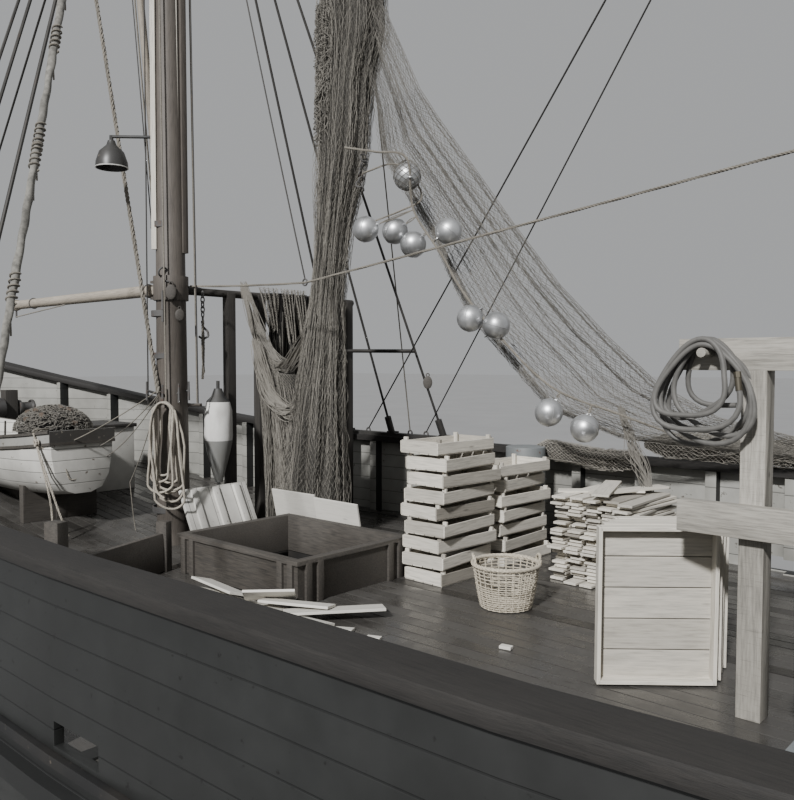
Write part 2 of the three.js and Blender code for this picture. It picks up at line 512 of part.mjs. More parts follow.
add('skiff_chocks', onDeck(join(chock(SKIFF.x + 550), chock(SKIFF.x + 2150),
  box(SKIFF.x + 500, SKIFF.x + 2200, SKIFF.y - 60, SKIFF.y + 60, DECK_Z - 100, SKIFF.z - 30))), 'wornWood');
const heapRing = (z, scale) => Array.from({ length: 12 }, (_, i) => {
  const a = (i / 12) * 2 * Math.PI;
  const lump = 1 + 0.08 * Math.sin(3 * a + z);
  const [along, across] = [400 * scale * lump * Math.cos(a), 360 * scale * lump * Math.sin(a)];
  return [SKIFF.x + 700 + along, SKIFF.y + across, SKIFF.z + z];
});
const HEAP_ROWS = [[425 + RUN_GAP, 0.96], [560, 1.06], [740, 1.0], [880, 0.75], [960, 0.3]];
add('skiff_net_heap', loft(HEAP_ROWS.map(([z, scale]) => heapRing(z, scale))), 'net');

// Hung nets: a gathered column, a curtain over the rack and a wing stretched to the rail.
// Column rows: height above the deck, centre x, centre y, radius along x, radius along y
const COLUMN_ROWS = [
  [RUN_GAP, 2140, -1140, 385, 350], [620, 2130, -1140, 360, 325], [1440, 2060, -1150, 280, 260],
  [2450, 1970, -1170, 175, 165], [3200, 1905, -1215, 195, 185], [3900, 1835, -1265, 270, 255],
  [4700, 1800, -1295, 285, 270], [5150, 1765, -1335, 355, 330], [5700, 1745, -1330, 350, 325],
  [6200, 1740, -1330, 230, 210], [6800, 1740, -1330, 95, 90], [7200, 1740, -1330, 35, 35],
];
add('net_column', loft(COLUMN_ROWS.map(([h, x, y, rx, ry]) => Array.from({ length: 12 }, (_, i) => {
  const a = (i / 12) * 2 * Math.PI;
  const fold = i % 2 ? 1 : 0.86;
  return [x + rx * fold * Math.cos(a), y + ry * fold * Math.sin(a), above(h)];
}))), 'net');

// Curtain: a fold of netting over the crossbeam between the outer posts.
// Rows: height above the deck, thickness, y at the mast side, y at the far side
const CURTAIN = { y0: -1185, y1: -2290 };
const CURTAIN_ROWS = [
  [120, 60, -1215, -2230], [900, 55, -1200, -2250], [1700, 60, -1190, -2265], [2200, 90, -1185, -2280],
  [2515, 120, CURTAIN.y0, CURTAIN.y1],
];
const curtainSheet = (offset) => loft(CURTAIN_ROWS.map(([h, thick, y0, y1]) => {
  const x = MAST_X + offset;
  return [[x, y0, above(h)], [x + thick, y0, above(h)], [x + thick, y1, above(h)], [x, y1, above(h)]];
}));
add('net_curtain', join(
  curtainSheet(-RACK.radius - 130),
  box(MAST_X - RACK.radius - 130, MAST_X + RACK.radius + 60, CURTAIN.y1, CURTAIN.y0,
    above(RACK.height) + RACK.radius + RUN_GAP, above(RACK.height) + RACK.radius + 50),
  box(MAST_X - RACK.radius - 130, MAST_X - RACK.radius - 12, CURTAIN.y1, CURTAIN.y0, above(2480),
    above(RACK.height) + RACK.radius + 50)), 'net');

// Wing: a stretched sheet from the column's head to a roll of netting along the starboard rail.
// It lies in one upright plane; points are the distance along the plane and the height
const WING = { from: [1740, -1330], to: [-2600, -2760], thick: 20 };
const wingAngle = Math.atan2(WING.to[1] - WING.from[1], WING.to[0] - WING.from[0]);
const WING_OUTLINE = [
  [400, 5300], [730, 4500], [940, 4190], [1360, 3600], [1730, 3080], [2130, 2540], [2570, 2060],
  [3010, 1640], [3500, 1360], [4480, 1100], [4380, 960], [3300, 1010], [2360, 1200], [2020, 1390],
  [1260, 2260], [840, 3080], [330, 3900], [370, 4500],
];
const wingShape = new THREE.Shape(WING_OUTLINE.map(([s, h]) => new THREE.Vector2(s, h)));
const wingSheet = solid(new THREE.ExtrudeGeometry(wingShape, { depth: WING.thick, bevelEnabled: false })
  .rotateX(Math.PI / 2).translate(0, WING.thick / 2, 0).rotateZ(wingAngle)
  .translate(WING.from[0], WING.from[1], DECK_Z));
const ROLL = { radius: 125, xs: [-750, -1500, -2250, -3000, -3500], inset: 85 };
const netRoll = sweep(ROLL.xs.map((x, i) => [x, -station(x).half + ROLL.inset + (i % 2 ? 8 : -8),
  railTop(x) + ROLL.radius + RUN_GAP]), ROLL.radius, 10, 14);
add('net_wing', join(wingSheet, netRoll), 'net');

// Headline with its metal floats, in front of the wing. Columns: x, y, height above the deck
const FLOAT_RADIUS = 125;
const FLOATS = [
  [1246, -1001, 3094], [1039, -1187, 3075], [846, -1227, 2936], [537, -1370, 3043], [888, -1189, 3570],
  [264, -1346, 2230], [30, -1420, 2160], [-429, -1567, 1394], [-712, -1688, 1262],
];
const HEADLINE = [
  [1480, -1090, 4600], [1150, -1090, 4000], [900, -1130, 3760], [810, -1190, 3250], [560, -1300, 2820],
  [310, -1330, 2440], [-50, -1450, 2000], [-450, -1620, 1600], [-900, -1950, 1380],
  [-1250, -2289.7, 1200],
];
const headlineCurve = new THREE.CatmullRomCurve3(
  HEADLINE.map(([x, y, h]) => new THREE.Vector3(x, y, above(h))));
const headlinePoints = headlineCurve.getPoints(60);
const floatSling = ([x, y, h]) => {
  const centre = new THREE.Vector3(x, y, above(h));
  const near = headlinePoints.reduce(
    (best, p) => (p.distanceTo(centre) < best.distanceTo(centre) ? p : best));
  return rod([centre.x, centre.y, centre.z], near.toArray(), 14, 14, 6);
};
add('headline_floats', join(
  sweep(HEADLINE.map(([x, y, h]) => [x, y, above(h)]), 16, 6, 26),
  FLOATS.map(([x, y, h]) => ball([x, y, above(h)], FLOAT_RADIUS, 12, 7)), FLOATS.map(floatSling)), 'float');

// Fish boxes in staggered stacks
const FISH_BOX = { x: 420, y: 740, z: 136, wall: 14 };
function fishBoxes(x, y, count, shifts) {
  return join(Array.from({ length: count }, (_, i) => {
    const dx = shifts[i % shifts.length][0];
    const dy = shifts[i % shifts.length][1];
    const z = deckTop + i * (FISH_BOX.z - 2);
    return cut(box(x + dx, x + dx + FISH_BOX.x, y + dy - FISH_BOX.y, y + dy, z, z + FISH_BOX.z),
      i === count - 1 ? [box(x + dx + FISH_BOX.wall, x + dx + FISH_BOX.x - FISH_BOX.wall,
        y + dy - FISH_BOX.y + FISH_BOX.wall, y + dy - FISH_BOX.wall, z + 15, z + 200)] : []);
  }));
}
const STAGGER = [[0, 0], [22, 40], [-16, -12], [14, 48], [-10, 10]];
add('fish_boxes_inner', fishBoxes(-100, -530, 9, STAGGER), 'rawWood');
add('fish_boxes_outer', fishBoxes(-90, -1370, 7, [[0, -20], [20, 8], [-14, -38]]), 'rawWood');
add('board_stack', join(Array.from({ length: 12 }, (_, i) => {
  const shift = [0, 25, -15, 10][i % 4];
  const layerFoot = deckTop + i * 60;
  return box(-1350 + shift, -620 + shift, -2150 + shift, -1330 + shift, layerFoot, layerFoot + 62);
})), 'rawWood');
const DRUM = { x: 350, y: -2400, radius: 200, height: 980 };
add('drum', turned([[0, RUN_GAP], [DRUM.radius, RUN_GAP], [DRUM.radius, 320], [DRUM.radius + 12, 335],
  [DRUM.radius, 350], [DRUM.radius, 640], [DRUM.radius + 12, 655], [DRUM.radius, 670],
  [DRUM.radius, DRUM.height], [0, DRUM.height]], [DRUM.x, DRUM.y, DECK_Z], 18), 'greyPaint');
add('fish_basket', turned([[0, RUN_GAP], [190, RUN_GAP], [240, 300], [258, 320], [250, 345], [225, 335],
  [172, 25], [0, 25]], [-770, -430, DECK_Z], 18), 'wicker');

// Frame of new timber ahead of the wheelhouse, with a peg for the hose
const FRAME = {
  x: -2820, aftX: -4270, y: 330, post: 62, postTop: 1790, low: 945, beam: 165, thick: 70, foreEnd: -2430,
};
const beamY = [FRAME.y + FRAME.post, FRAME.y + FRAME.post + FRAME.thick];
const PEG = { x: -2600, z: 1880, radius: 25, reach: 130 };
add('timber_frame', join(
  [FRAME.x, FRAME.aftX].map((x) => box(x - FRAME.post, x + FRAME.post, FRAME.y - FRAME.post,
    FRAME.y + FRAME.post, deckTop, above(FRAME.postTop + 20))),
  box(FRAME.aftX, FRAME.foreEnd - 30, beamY[0] - 5, beamY[1],
    above(FRAME.low), above(FRAME.low + FRAME.beam)),
  box(FRAME.aftX, FRAME.foreEnd, FRAME.y - 20, beamY[0], above(FRAME.postTop),
    above(FRAME.postTop + FRAME.beam)),
  rod([PEG.x, beamY[0] - 20, above(PEG.z)], [PEG.x, beamY[0] + PEG.reach, above(PEG.z)],
    PEG.radius, PEG.radius, 12)), 'rawWood');

// Hose coil hung on the peg, and a hank of rope hung at the mast
const HOSE_COIL = { ring: 235, bulk: 42 };
const coilProfile = Array.from({ length: 10 }, (_, i) => {
  const a = (i / 10) * 2 * Math.PI;
  return new THREE.Vector2(HOSE_COIL.ring + HOSE_COIL.bulk * Math.cos(a), HOSE_COIL.bulk * Math.sin(a));
});
const hoseCoilZ = above(PEG.z) + PEG.radius + RUN_GAP * 3 - (HOSE_COIL.ring - HOSE_COIL.bulk);
add('hose_coil', solid(new THREE.LatheGeometry([...coilProfile, coilProfile[0]], 24)
  .translate(PEG.x, beamY[0] + 62, hoseCoilZ)), 'rubber');

const HANK = { width: 300, height: 860, bulk: 80, side: 80 };
function ovalShape(width, height) {
  const shape = new THREE.Shape();
  const [r, straight] = [width / 2, height / 2 - width / 2];
  shape.absarc(0, straight, r, 0, Math.PI, false);
  shape.absarc(0, -straight, r, Math.PI, 2 * Math.PI, false);
  shape.closePath();
  return shape;
}
const hankShape = ovalShape(HANK.width, HANK.height);
hankShape.holes.push(ovalShape(HANK.width - 2 * HANK.side, HANK.height - 2 * HANK.side));
const pinDirection = Math.atan2(180, -150);
const HANK_AT = [MAST_X - 172, 204];
const hankZ = above(PIN_HEIGHT) + PIN_RADIUS + RUN_GAP * 3 - HANK.height / 2 + HANK.side;
const hankSettings = { depth: HANK.bulk, bevelEnabled: false, curveSegments: 8 };
add('rope_hank', solid(new THREE.ExtrudeGeometry(hankShape, hankSettings)
  .translate(0, 0, -HANK.bulk / 2).rotateX(Math.PI / 2).rotateZ(pinDirection - Math.PI / 2)
  .translate(...HANK_AT, hankZ)), 'rope');

// Deck lamp: a bell shade on a bracket from the mast
const LAMP = { x: 3400, y: 400, z: above(3760), radius: 160 };
const lampSeat = (mastRadius(4070) * Math.cos(Math.PI / 20) + RUN_GAP) * Math.SQRT1_2;
add('deck_lamp', join(
  cut(turned([[0, 0], [LAMP.radius, 0], [LAMP.radius - 6, 60], [120, 160], [50, 225], [35, 270], [0, 270]],
    [LAMP.x, LAMP.y, LAMP.z], 20),
  turned([[0, -10], [LAMP.radius - 10, -10], [LAMP.radius - 14, 60], [110, 155], [42, 218], [0, 218]],
    [LAMP.x, LAMP.y, LAMP.z], 20)),
  rod([LAMP.x, LAMP.y, LAMP.z + 265], [LAMP.x, LAMP.y, LAMP.z + 320], 20, 20, 10),
  rod([MAST_X + lampSeat, lampSeat, LAMP.z + 310], [LAMP.x + 10, LAMP.y + 10, LAMP.z + 310], 16, 16, 10)),
'greyPaint');

// Dan buoy standing by the mast on its pole
add('dan_buoy', join(
  turned([[0, 580], [40, 580], [118, 880], [145, 1000], [150, 1080], [146, 1330], [120, 1430],
    [70, 1480], [40, 1560], [0, 1560]], [2880, -470, DECK_Z], 16),
  rod([2880, -470, deckTop], [2880, -470, above(1640)], 18, 18, 8)), 'whitePaint');

// Engine casing under and aft of the wheelhouse
add('deckhouse', onDeck(cut(
  box(CASING.x0, CASING.x1, -CASING.half, CASING.half, 800, CASING.top),
  box(CASING.x0 + CASING.wall, CASING.x1 - CASING.wall, -CASING.half + CASING.wall,
    CASING.half - CASING.wall, 700, CASING.top - CASING.roof))), 'greyPaint');

// Wheelhouse panels, each as thick as the real wall, with their windows cut
const HOUSE = { x0: -6600, x1: -4400, half: 1050, foot: 1700, top: 3850, wall: 50 };
const houseFoot = HOUSE.foot + RUN_GAP;
const WINDOW = { sill: 2850, head: 3480 };
const WHEEL = { x: -4790, z: 2720, radius: 360 };
const frontWindows = [-680, 0, 680].map((y) =>
  box(HOUSE.x1 - 200, HOUSE.x1 + 100, y - 260, y + 260, WINDOW.sill, WINDOW.head));
add('wheelhouse_front', cut(join(
  box(HOUSE.x1 - HOUSE.wall, HOUSE.x1, -HOUSE.half, HOUSE.half, houseFoot, HOUSE.top),
  box(HOUSE.x1 - 220, HOUSE.x1 - HOUSE.wall + 5, -110, 110, WHEEL.z - 130, WHEEL.z + 110)), frontWindows),
'whitePaint');
const DOOR = { y0: -700, y1: 0, z0: 1740, z1: 3560, thick: 45 };
const DOOR_HINGE = { x: HOUSE.x0 - 10.5 - RUN_GAP, y: DOOR.y0 - 2, radius: 10.5, zs: [1900, 2600, 3380] };
const aftWindow = box(HOUSE.x0 - 100, HOUSE.x0 + 200, 350, 850, WINDOW.sill, WINDOW.head);
const doorway = box(HOUSE.x0 - 100, HOUSE.x0 + 200, DOOR.y0, DOOR.y1, DOOR.z0, DOOR.z1);
add('wheelhouse_aft', cut(
  box(HOUSE.x0, HOUSE.x0 + HOUSE.wall, -HOUSE.half, HOUSE.half, houseFoot, HOUSE.top), aftWindow, doorway),
'whitePaint');
function housePanel(side) {
  const [y0, y1] = [side * HOUSE.half, side * (HOUSE.half - HOUSE.wall)].sort((a, b) => a - b);
  const windows = [-5980, -5020].map((x) =>
    box(x - 300, x + 300, y0 - 100, y1 + 100, WINDOW.sill, WINDOW.head));
  const [x0, x1] = [HOUSE.x0 + HOUSE.wall + RUN_GAP, HOUSE.x1 - HOUSE.wall - RUN_GAP];
  return cut(box(x0, x1, y0, y1, houseFoot, HOUSE.top), windows);
}
add('wheelhouse_port', housePanel(1), 'whitePaint');
add('wheelhouse_starboard', housePanel(-1), 'whitePaint');
const ROOF = { over: 160, edge: 45, crown: 110 };
add('wheelhouse_roof', plateYZ([
  [-HOUSE.half - ROOF.over, HOUSE.top + RUN_GAP], [HOUSE.half + ROOF.over, HOUSE.top + RUN_GAP],
  [HOUSE.half + ROOF.over, HOUSE.top + ROOF.edge], [HOUSE.half * 0.55, HOUSE.top + ROOF.crown - 15],
  [0, HOUSE.top + ROOF.crown], [-HOUSE.half * 0.55, HOUSE.top + ROOF.crown - 15],
  [-HOUSE.half - ROOF.over, HOUSE.top + ROOF.edge]], HOUSE.x0 - ROOF.over, HOUSE.x1 + ROOF.over),
'whitePaint');

// Wheelhouse door with its window, hinged at its starboard edge
const leafEdge = DOOR.y0 + JOINT_GAP;
const doorHinges = DOOR_HINGE.zs.map((z) => [
  rod([DOOR_HINGE.x, DOOR_HINGE.y, z - 50], [DOOR_HINGE.x, DOOR_HINGE.y, z + 50],
    DOOR_HINGE.radius, DOOR_HINGE.radius, 12),
  box(HOUSE.x0 - 8, HOUSE.x0 - 2, DOOR_HINGE.y, leafEdge + 140, z - 25, z + 25),
  box(HOUSE.x0 - 8, HOUSE.x0 + 2, leafEdge, leafEdge + 140, z - 25, z + 25)]);
const doorLeaf = box(HOUSE.x0, HOUSE.x0 + DOOR.thick, leafEdge, DOOR.y1 - JOINT_GAP,
  DOOR.z0 + JOINT_GAP, DOOR.z1 - JOINT_GAP);
add('wheelhouse_door', cut(join(doorLeaf, doorHinges.flat(),
  rod([HOUSE.x0 - 70, DOOR.y1 - 90, 2600], [HOUSE.x0 + 10, DOOR.y1 - 90, 2600], 12, 12, 10),
  rod([HOUSE.x0 - 65, DOOR.y1 - 96, 2600], [HOUSE.x0 - 65, DOOR.y1 - 200, 2600], 12, 12, 10)),
  box(HOUSE.x0 - 50, HOUSE.x0 + 100, DOOR.y0 + 150, DOOR.y1 - 150, WINDOW.sill, WINDOW.head - 50)),
'brownPaint');

// Steering wheel with its shaft
add('steering_wheel', join(
  solid(new THREE.TorusGeometry(WHEEL.radius - 90, 18, 6, 20).rotateY(Math.PI / 2)
    .translate(WHEEL.x, 0, WHEEL.z)),
  rod([WHEEL.x - 45, 0, WHEEL.z], [WHEEL.x + 45, 0, WHEEL.z], 50, 50, 14),
  rod([WHEEL.x, 0, WHEEL.z], [HOUSE.x1 - 220 - RUN_GAP, 0, WHEEL.z], 22, 22, 12),
  Array.from({ length: 8 }, (_, k) => {
    const a = (k / 8) * 2 * Math.PI;
    const tip = [WHEEL.x, WHEEL.radius * Math.cos(a), WHEEL.z + WHEEL.radius * Math.sin(a)];
    return rod([WHEEL.x, 0, WHEEL.z], tip, 13, 16, 6);
  })), 'brownPaint');

// Funnel, mizzen mast and boom
const casingTop = CASING.top + RUN_GAP;
add('funnel', turned([[0, 0], [150, 0], [150, 40], [110, 60], [110, 1500], [125, 1510], [125, 1560],
  [95, 1560], [95, 1200], [0, 1200]], [-7250, 700, casingTop], 16), 'hullPaint');
const MIZZEN = { x: -7500, height: 6100, radius: 105, boomZ: 4000, boom: 1560 };
add('mizzen_mast', join(
  rod([MIZZEN.x, 0, casingTop], [MIZZEN.x, 0, CASING.top + MIZZEN.height], MIZZEN.radius, 60, 16),
  rod([MIZZEN.x, 0, casingTop], [MIZZEN.x, 0, casingTop + 60], 150, 150, 16),
  box(MIZZEN.x - 220, MIZZEN.x, -35, 35, MIZZEN.boomZ - 90, MIZZEN.boomZ - 65),
  box(MIZZEN.x - 220, MIZZEN.x, -35, 35, MIZZEN.boomZ + 65, MIZZEN.boomZ + 90)), 'spar');
const mizzenPivotX = MIZZEN.x - 190;
add('mizzen_boom', join(
  rod([mizzenPivotX - 60, 0, MIZZEN.boomZ], [mizzenPivotX - MIZZEN.boom, 0, MIZZEN.boomZ], 48, 40, 12),
  rod([mizzenPivotX, 0, MIZZEN.boomZ - 65 + RUN_GAP],
    [mizzenPivotX, 0, MIZZEN.boomZ + 65 - RUN_GAP], 22, 22, 12),
  box(mizzenPivotX - 120, mizzenPivotX, -14, 14, MIZZEN.boomZ - 30, MIZZEN.boomZ + 30)), 'spar');

// Trawl winch: bed with bearings, and the shaft with two warp drums and warping ends
const WINCH = { x: -3480, z: above(520), half: 900, shaft: 45, flange: 320, core: 150 };
const bearing = (y) => plateXZ([
  [WINCH.x - 260, above(100)], [WINCH.x + 260, above(100)], [WINCH.x + 90, WINCH.z + 60],
  [WINCH.x + 60, WINCH.z + 110], [WINCH.x - 60, WINCH.z + 110], [WINCH.x - 90, WINCH.z + 60],
], y - 30, y + 30);
const winchBore = rod([WINCH.x, -WINCH.half - 200, WINCH.z], [WINCH.x, WINCH.half + 200, WINCH.z],
  WINCH.shaft + JOINT_GAP, WINCH.shaft + JOINT_GAP, 16);
add('winch_bed', cut(join(
  box(WINCH.x - 330, WINCH.x - 210, -WINCH.half - 60, WINCH.half + 60, deckTop, above(130)),
  box(WINCH.x + 210, WINCH.x + 330, -WINCH.half - 60, WINCH.half + 60, deckTop, above(130)),
  [-WINCH.half, 0, WINCH.half].map(bearing)), winchBore), 'greyPaint');
const winchDisc = (y, radius, half) => rod([WINCH.x, y - half, WINCH.z], [WINCH.x, y + half, WINCH.z],
  radius, radius, 18);
add('winch_drums', join(
  rod([WINCH.x, -WINCH.half - 300, WINCH.z], [WINCH.x, WINCH.half + 300, WINCH.z],
    WINCH.shaft, WINCH.shaft, 16),
  [-1, 1].map((side) => [
    winchDisc(side * 80, WINCH.flange, 14), winchDisc(side * 780, WINCH.flange, 14),
    winchDisc(side * 430, WINCH.core + 60, 345),
    winchDisc(side * (WINCH.half + 40 + RUN_GAP), 75, 10)]).flat(),
  [-1, 1].map((side) => [
    winchDisc(side * (WINCH.half + 90), 130, 20), winchDisc(side * (WINCH.half + 190), 90, 90),
    winchDisc(side * (WINCH.half + 285), 130, 15)]).flat()), 'steel');

// Windlass between its bitts on the foredeck
const WINDLASS = { x: 7720, z: 2130, post: 85, y: 370, barrel: 150, shaft: 45 };
const windlassBore = rod([WINDLASS.x, -900, WINDLASS.z], [WINDLASS.x, 900, WINDLASS.z],
  WINDLASS.shaft + JOINT_GAP, WINDLASS.shaft + JOINT_GAP, 16);
add('windlass_bitts', onDeck(cut(join(
  [-1, 1].map((side) => box(WINDLASS.x - WINDLASS.post, WINDLASS.x + WINDLASS.post,
    side * WINDLASS.y - WINDLASS.post, side * WINDLASS.y + WINDLASS.post, 1400, WINDLASS.z + 260)),
  box(WINDLASS.x - 85, WINDLASS.x + 85, -WINDLASS.y, WINDLASS.y, 1400, 1700)), windlassBore)), 'wornWood');
const windlassDisc = (y, radius, half) => rod([WINDLASS.x, y - half, WINDLASS.z],
  [WINDLASS.x, y + half, WINDLASS.z], radius, radius, 16);
add('windlass_barrel', join(
  windlassDisc(0, WINDLASS.barrel, WINDLASS.y - WINDLASS.post - 12),
  windlassDisc(0, 70, WINDLASS.y - WINDLASS.post - RUN_GAP), windlassDisc(0, WINDLASS.shaft, 700),
  [-1, 1].map((side) => [windlassDisc(side * 500, 115, 18), windlassDisc(side * 590, 80, 80),
    windlassDisc(side * 685, 115, 18)]).flat()), 'steel');

// Forecastle companion and its lid, hinged at the forward edge
const COMPANION = { x0: 5450, x1: 6250, y0: -1000, y1: -300, top: 1950, wall: 40 };
add('companion', onDeck(cut(
  box(COMPANION.x0, COMPANION.x1, COMPANION.y0, COMPANION.y1, 1000, COMPANION.top),
  box(COMPANION.x0 + COMPANION.wall, COMPANION.x1 - COMPANION.wall, COMPANION.y0 + COMPANION.wall,
    COMPANION.y1 - COMPANION.wall, 900, COMPANION.top + 100))), 'whitePaint');
add('companion_lid', box(COMPANION.x0 - 30, COMPANION.x1 + 20, COMPANION.y0 - 25, COMPANION.y1 + 25,
  COMPANION.top + RUN_GAP, COMPANION.top + 45), 'brownPaint');

// Trawl gallows at the quarters, each with its otter board
const GALLOWS = { x0: -8050, x1: -7250, y: 1345, top: 2950, radius: 65 };
function gallows(side) {
  const y = side * GALLOWS.y;
  const { x0, x1, top } = GALLOWS;
  const mid = (x0 + x1) / 2;
  const legFoot = 900;
  const arch = sweep([[x0, y, legFoot], [x0, y, 1500], [x0 + 10, y, top - 500], [x0 + 130, y, top - 130],
    [mid, y, top], [x1 - 130, y, top - 130], [x1 - 10, y, top - 500], [x1, y, 1500], [x1, y, legFoot]],
  GALLOWS.radius, 8, 26);
  const feet = [x0, x1].map((x) =>
    box(x - 110, x + 110, y - 110, y + 110, station(x).deck - 60, station(x).deck + 45));
  const lug = box(mid - 60, mid + 60, y - 20, y + 20, top - 200, top - 20);
  return onDeck(join(arch, feet, lug));
}
add('gallows_port', gallows(1), 'steel');
add('gallows_starboard', gallows(-1), 'steel');
const OTTER = { length: 1400, height: 850, thick: 70, x: -5950 };
function otterBoard(side) {
  const [aft, fore] = [OTTER.x - OTTER.length / 2, OTTER.x + OTTER.length / 2].map(station);
  const angle = Math.atan2(side * (fore.half - aft.half), OTTER.length);
  const y = side * ((fore.half + aft.half) / 2 - BULWARK_INSET - BULWARK_THICKNESS - STANCHION - 75);
  const z = station(OTTER.x).deck + OTTER.height / 2 + 10;
  return onDeck(join(
    turnedBox([OTTER.length, OTTER.thick, OTTER.height], [OTTER.x, y, z], angle),
    turnedBox([OTTER.length + 20, OTTER.thick + 20, 90], [OTTER.x, y, z - OTTER.height / 2 + 45], angle),
    [-350, 300].map((d) => turnedBox([70, OTTER.thick + 24, OTTER.height - 4],
      [OTTER.x + d * Math.cos(angle), y + d * Math.sin(angle), z], angle))));
}
add('otter_board_port', otterBoard(1), 'wornWood');
add('otter_board_starboard', otterBoard(-1), 'wornWood');

export default vessel;
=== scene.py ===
"""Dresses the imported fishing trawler: planks, nets, rigging, gear and finishes. Metres, +X forward, +Z up."""

import math
import random
from math import cos, pi, sin, tau

import bmesh
import bpy
from mathutils import Matrix, Vector, noise

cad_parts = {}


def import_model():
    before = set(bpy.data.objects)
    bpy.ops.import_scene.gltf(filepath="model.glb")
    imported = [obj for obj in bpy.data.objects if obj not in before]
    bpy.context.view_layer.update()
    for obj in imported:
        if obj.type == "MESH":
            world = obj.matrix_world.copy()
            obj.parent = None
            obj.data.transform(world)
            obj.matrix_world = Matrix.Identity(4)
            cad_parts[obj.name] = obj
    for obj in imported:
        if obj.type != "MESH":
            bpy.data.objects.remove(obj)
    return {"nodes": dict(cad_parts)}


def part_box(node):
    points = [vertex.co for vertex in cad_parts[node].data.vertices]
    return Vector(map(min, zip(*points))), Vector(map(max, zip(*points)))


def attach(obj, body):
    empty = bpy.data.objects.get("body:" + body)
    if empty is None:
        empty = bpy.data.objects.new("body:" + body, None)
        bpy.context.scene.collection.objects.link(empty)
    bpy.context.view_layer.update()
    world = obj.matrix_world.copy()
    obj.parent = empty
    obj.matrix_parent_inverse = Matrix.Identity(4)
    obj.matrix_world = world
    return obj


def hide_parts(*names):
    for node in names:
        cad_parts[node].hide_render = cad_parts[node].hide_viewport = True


bl_info = {
    "name": "Fishing trawler dressing",
    "version": (1, 0, 0),
    "blender": (4, 5, 0),
    "location": "View3D > Sidebar > Trawler",
    "description": "Planks, nets, rigging, deck gear and finishes for a wooden fishing trawler",
    "category": "Object",
}

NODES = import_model()["nodes"]
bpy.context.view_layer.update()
HULL = "hull"
DECK_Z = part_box("hatch_coaming")[0].z
QUARTER_X, QUARTER_Y, QUARTER_Z = (Matrix.Rotation(pi / 2, 4, letter) for letter in "XYZ")
BEVEL_ANGLE, SMOOTH_ANGLE = math.radians(40), math.radians(35)


def middle(node):
    """The centre of a CAD node's box."""
    low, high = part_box(node)
    return (low + high) / 2


MAST = middle("mast")


def above(height):
    """A height over the working deck as a height over the waterline."""
    return DECK_Z + height


def raised(points):
    """Points whose heights are given over the working deck."""
    return [(x, y, above(h)) for x, y, h in points]


def at_mast(height, x=0.0, y=0.0):
    """A point beside the mast's axis."""
    return Vector((MAST.x + x, MAST.y + y, above(height)))


def around(radius, angle, z=0.0):
    """A point on a circle round the Z axis."""
    return Vector((radius * cos(angle), radius * sin(angle), z))


def heading(turn, rise):
    """The direction at a turn round the Z axis and a rise from the level."""
    return Vector((cos(turn) * cos(rise), sin(turn) * cos(rise), sin(rise)))


def swung(side, up, turn):
    """A direction turned from one vector towards another."""
    return side * cos(turn) + up * sin(turn)


def tossed(draw, *reach):
    """A random vector with its own reach along each axis."""
    return Vector([draw.uniform(-r, r) for r in reach])


def linked(name, data):
    """A new object in the scene."""
    made = bpy.data.objects.new(name, data)
    bpy.context.scene.collection.objects.link(made)
    return made


# Settings that a user would change
def colour_setting(name, text, default):
    return bpy.props.FloatVectorProperty(
        name=name, description=text, default=default, subtype="COLOR", size=3, min=0.0, max=1.0)


def length_setting(name, text, default):
    return bpy.props.FloatProperty(name=name, description=text, default=default, unit="LENGTH", min=0.0005)


class TrawlerColours(bpy.types.PropertyGroup):
    # Partly painted shadow: the hull's black paint is darkened further to match the shaded foreground
    hull: colour_setting("Hull paint", "Paint of the planked sides", (0.010, 0.0105, 0.010))
    boot: colour_setting("Boot top", "Paint below the waterline", (0.150, 0.040, 0.028))
    white: colour_setting("White paint", "Weathered white of the house and the skiff", (0.64, 0.625, 0.58))
    grey: colour_setting("Grey paint", "Paint of the casing and the winch", (0.17, 0.185, 0.19))
    # Painted shadow: the cap rail colour is darker than oiled hardwood alone, standing for the shadow over the near
    # rail
    rail: colour_setting("Cap rail", "Dark oiled hardwood", (0.0115, 0.0098, 0.0084))
    deck: colour_setting("Deck", "Wet dark planking", (0.034, 0.031, 0.028))
    mast: colour_setting("Mast", "Stained pine", (0.082, 0.068, 0.056))
    spar: colour_setting("Spars", "Weathered pale pine", (0.31, 0.272, 0.22))
    worn: colour_setting("Worn timber", "Untreated deck timber", (0.058, 0.049, 0.040))
    raw: colour_setting("Raw timber", "New pale softwood", (0.66, 0.62, 0.54))
    net: colour_setting("Netting", "Dry tan twine", (0.35, 0.325, 0.28))
    # Partly painted shade: this dark twine colour stands for the shade on the net hung behind the rack; in the skiff
    # it is the dark core under the heap's loose twine
    dark_net: colour_setting("Dark netting and shade", "Dark twine and painted shade", (0.035, 0.032, 0.028))
    rope: colour_setting("Rope", "Laid natural fibre", (0.185, 0.168, 0.140))
    wire: colour_setting("Wire", "Greased steel wire", (0.060, 0.057, 0.053))
    steel: colour_setting("Steel", "Worn bare steel", (0.18, 0.175, 0.17))
    float: colour_setting("Floats", "Satin spun metal", (0.62, 0.625, 0.63))
    hose: colour_setting("Hose", "Dull grey rubber", (0.110, 0.106, 0.098))
    wicker: colour_setting("Wicker", "Peeled cane", (0.46, 0.41, 0.32))
    bronze: colour_setting("Bronze", "Dull propeller bronze", (0.30, 0.20, 0.085))


class TrawlerSizes(bpy.types.PropertyGroup):
    plank: length_setting("Deck plank", "Width of a deck plank with its seam", 0.125)
    seam: length_setting("Seam", "Width of a caulked seam", 0.009)
    margin: length_setting("Margin plank", "Width of the plank along the bulwark", 0.24)
    twine: length_setting("Twine", "Radius of the net twine", 0.0017)
    hose: length_setting("Hose", "Outer diameter of the coiled hose", 0.028)
    hank: length_setting("Hank", "Diameter of the hanked rope", 0.022)
    edge: length_setting("Edge", "Rounding of worn timber edges", 0.006)
    box_board: length_setting("Box board", "Thickness of a fish box board", 0.014)


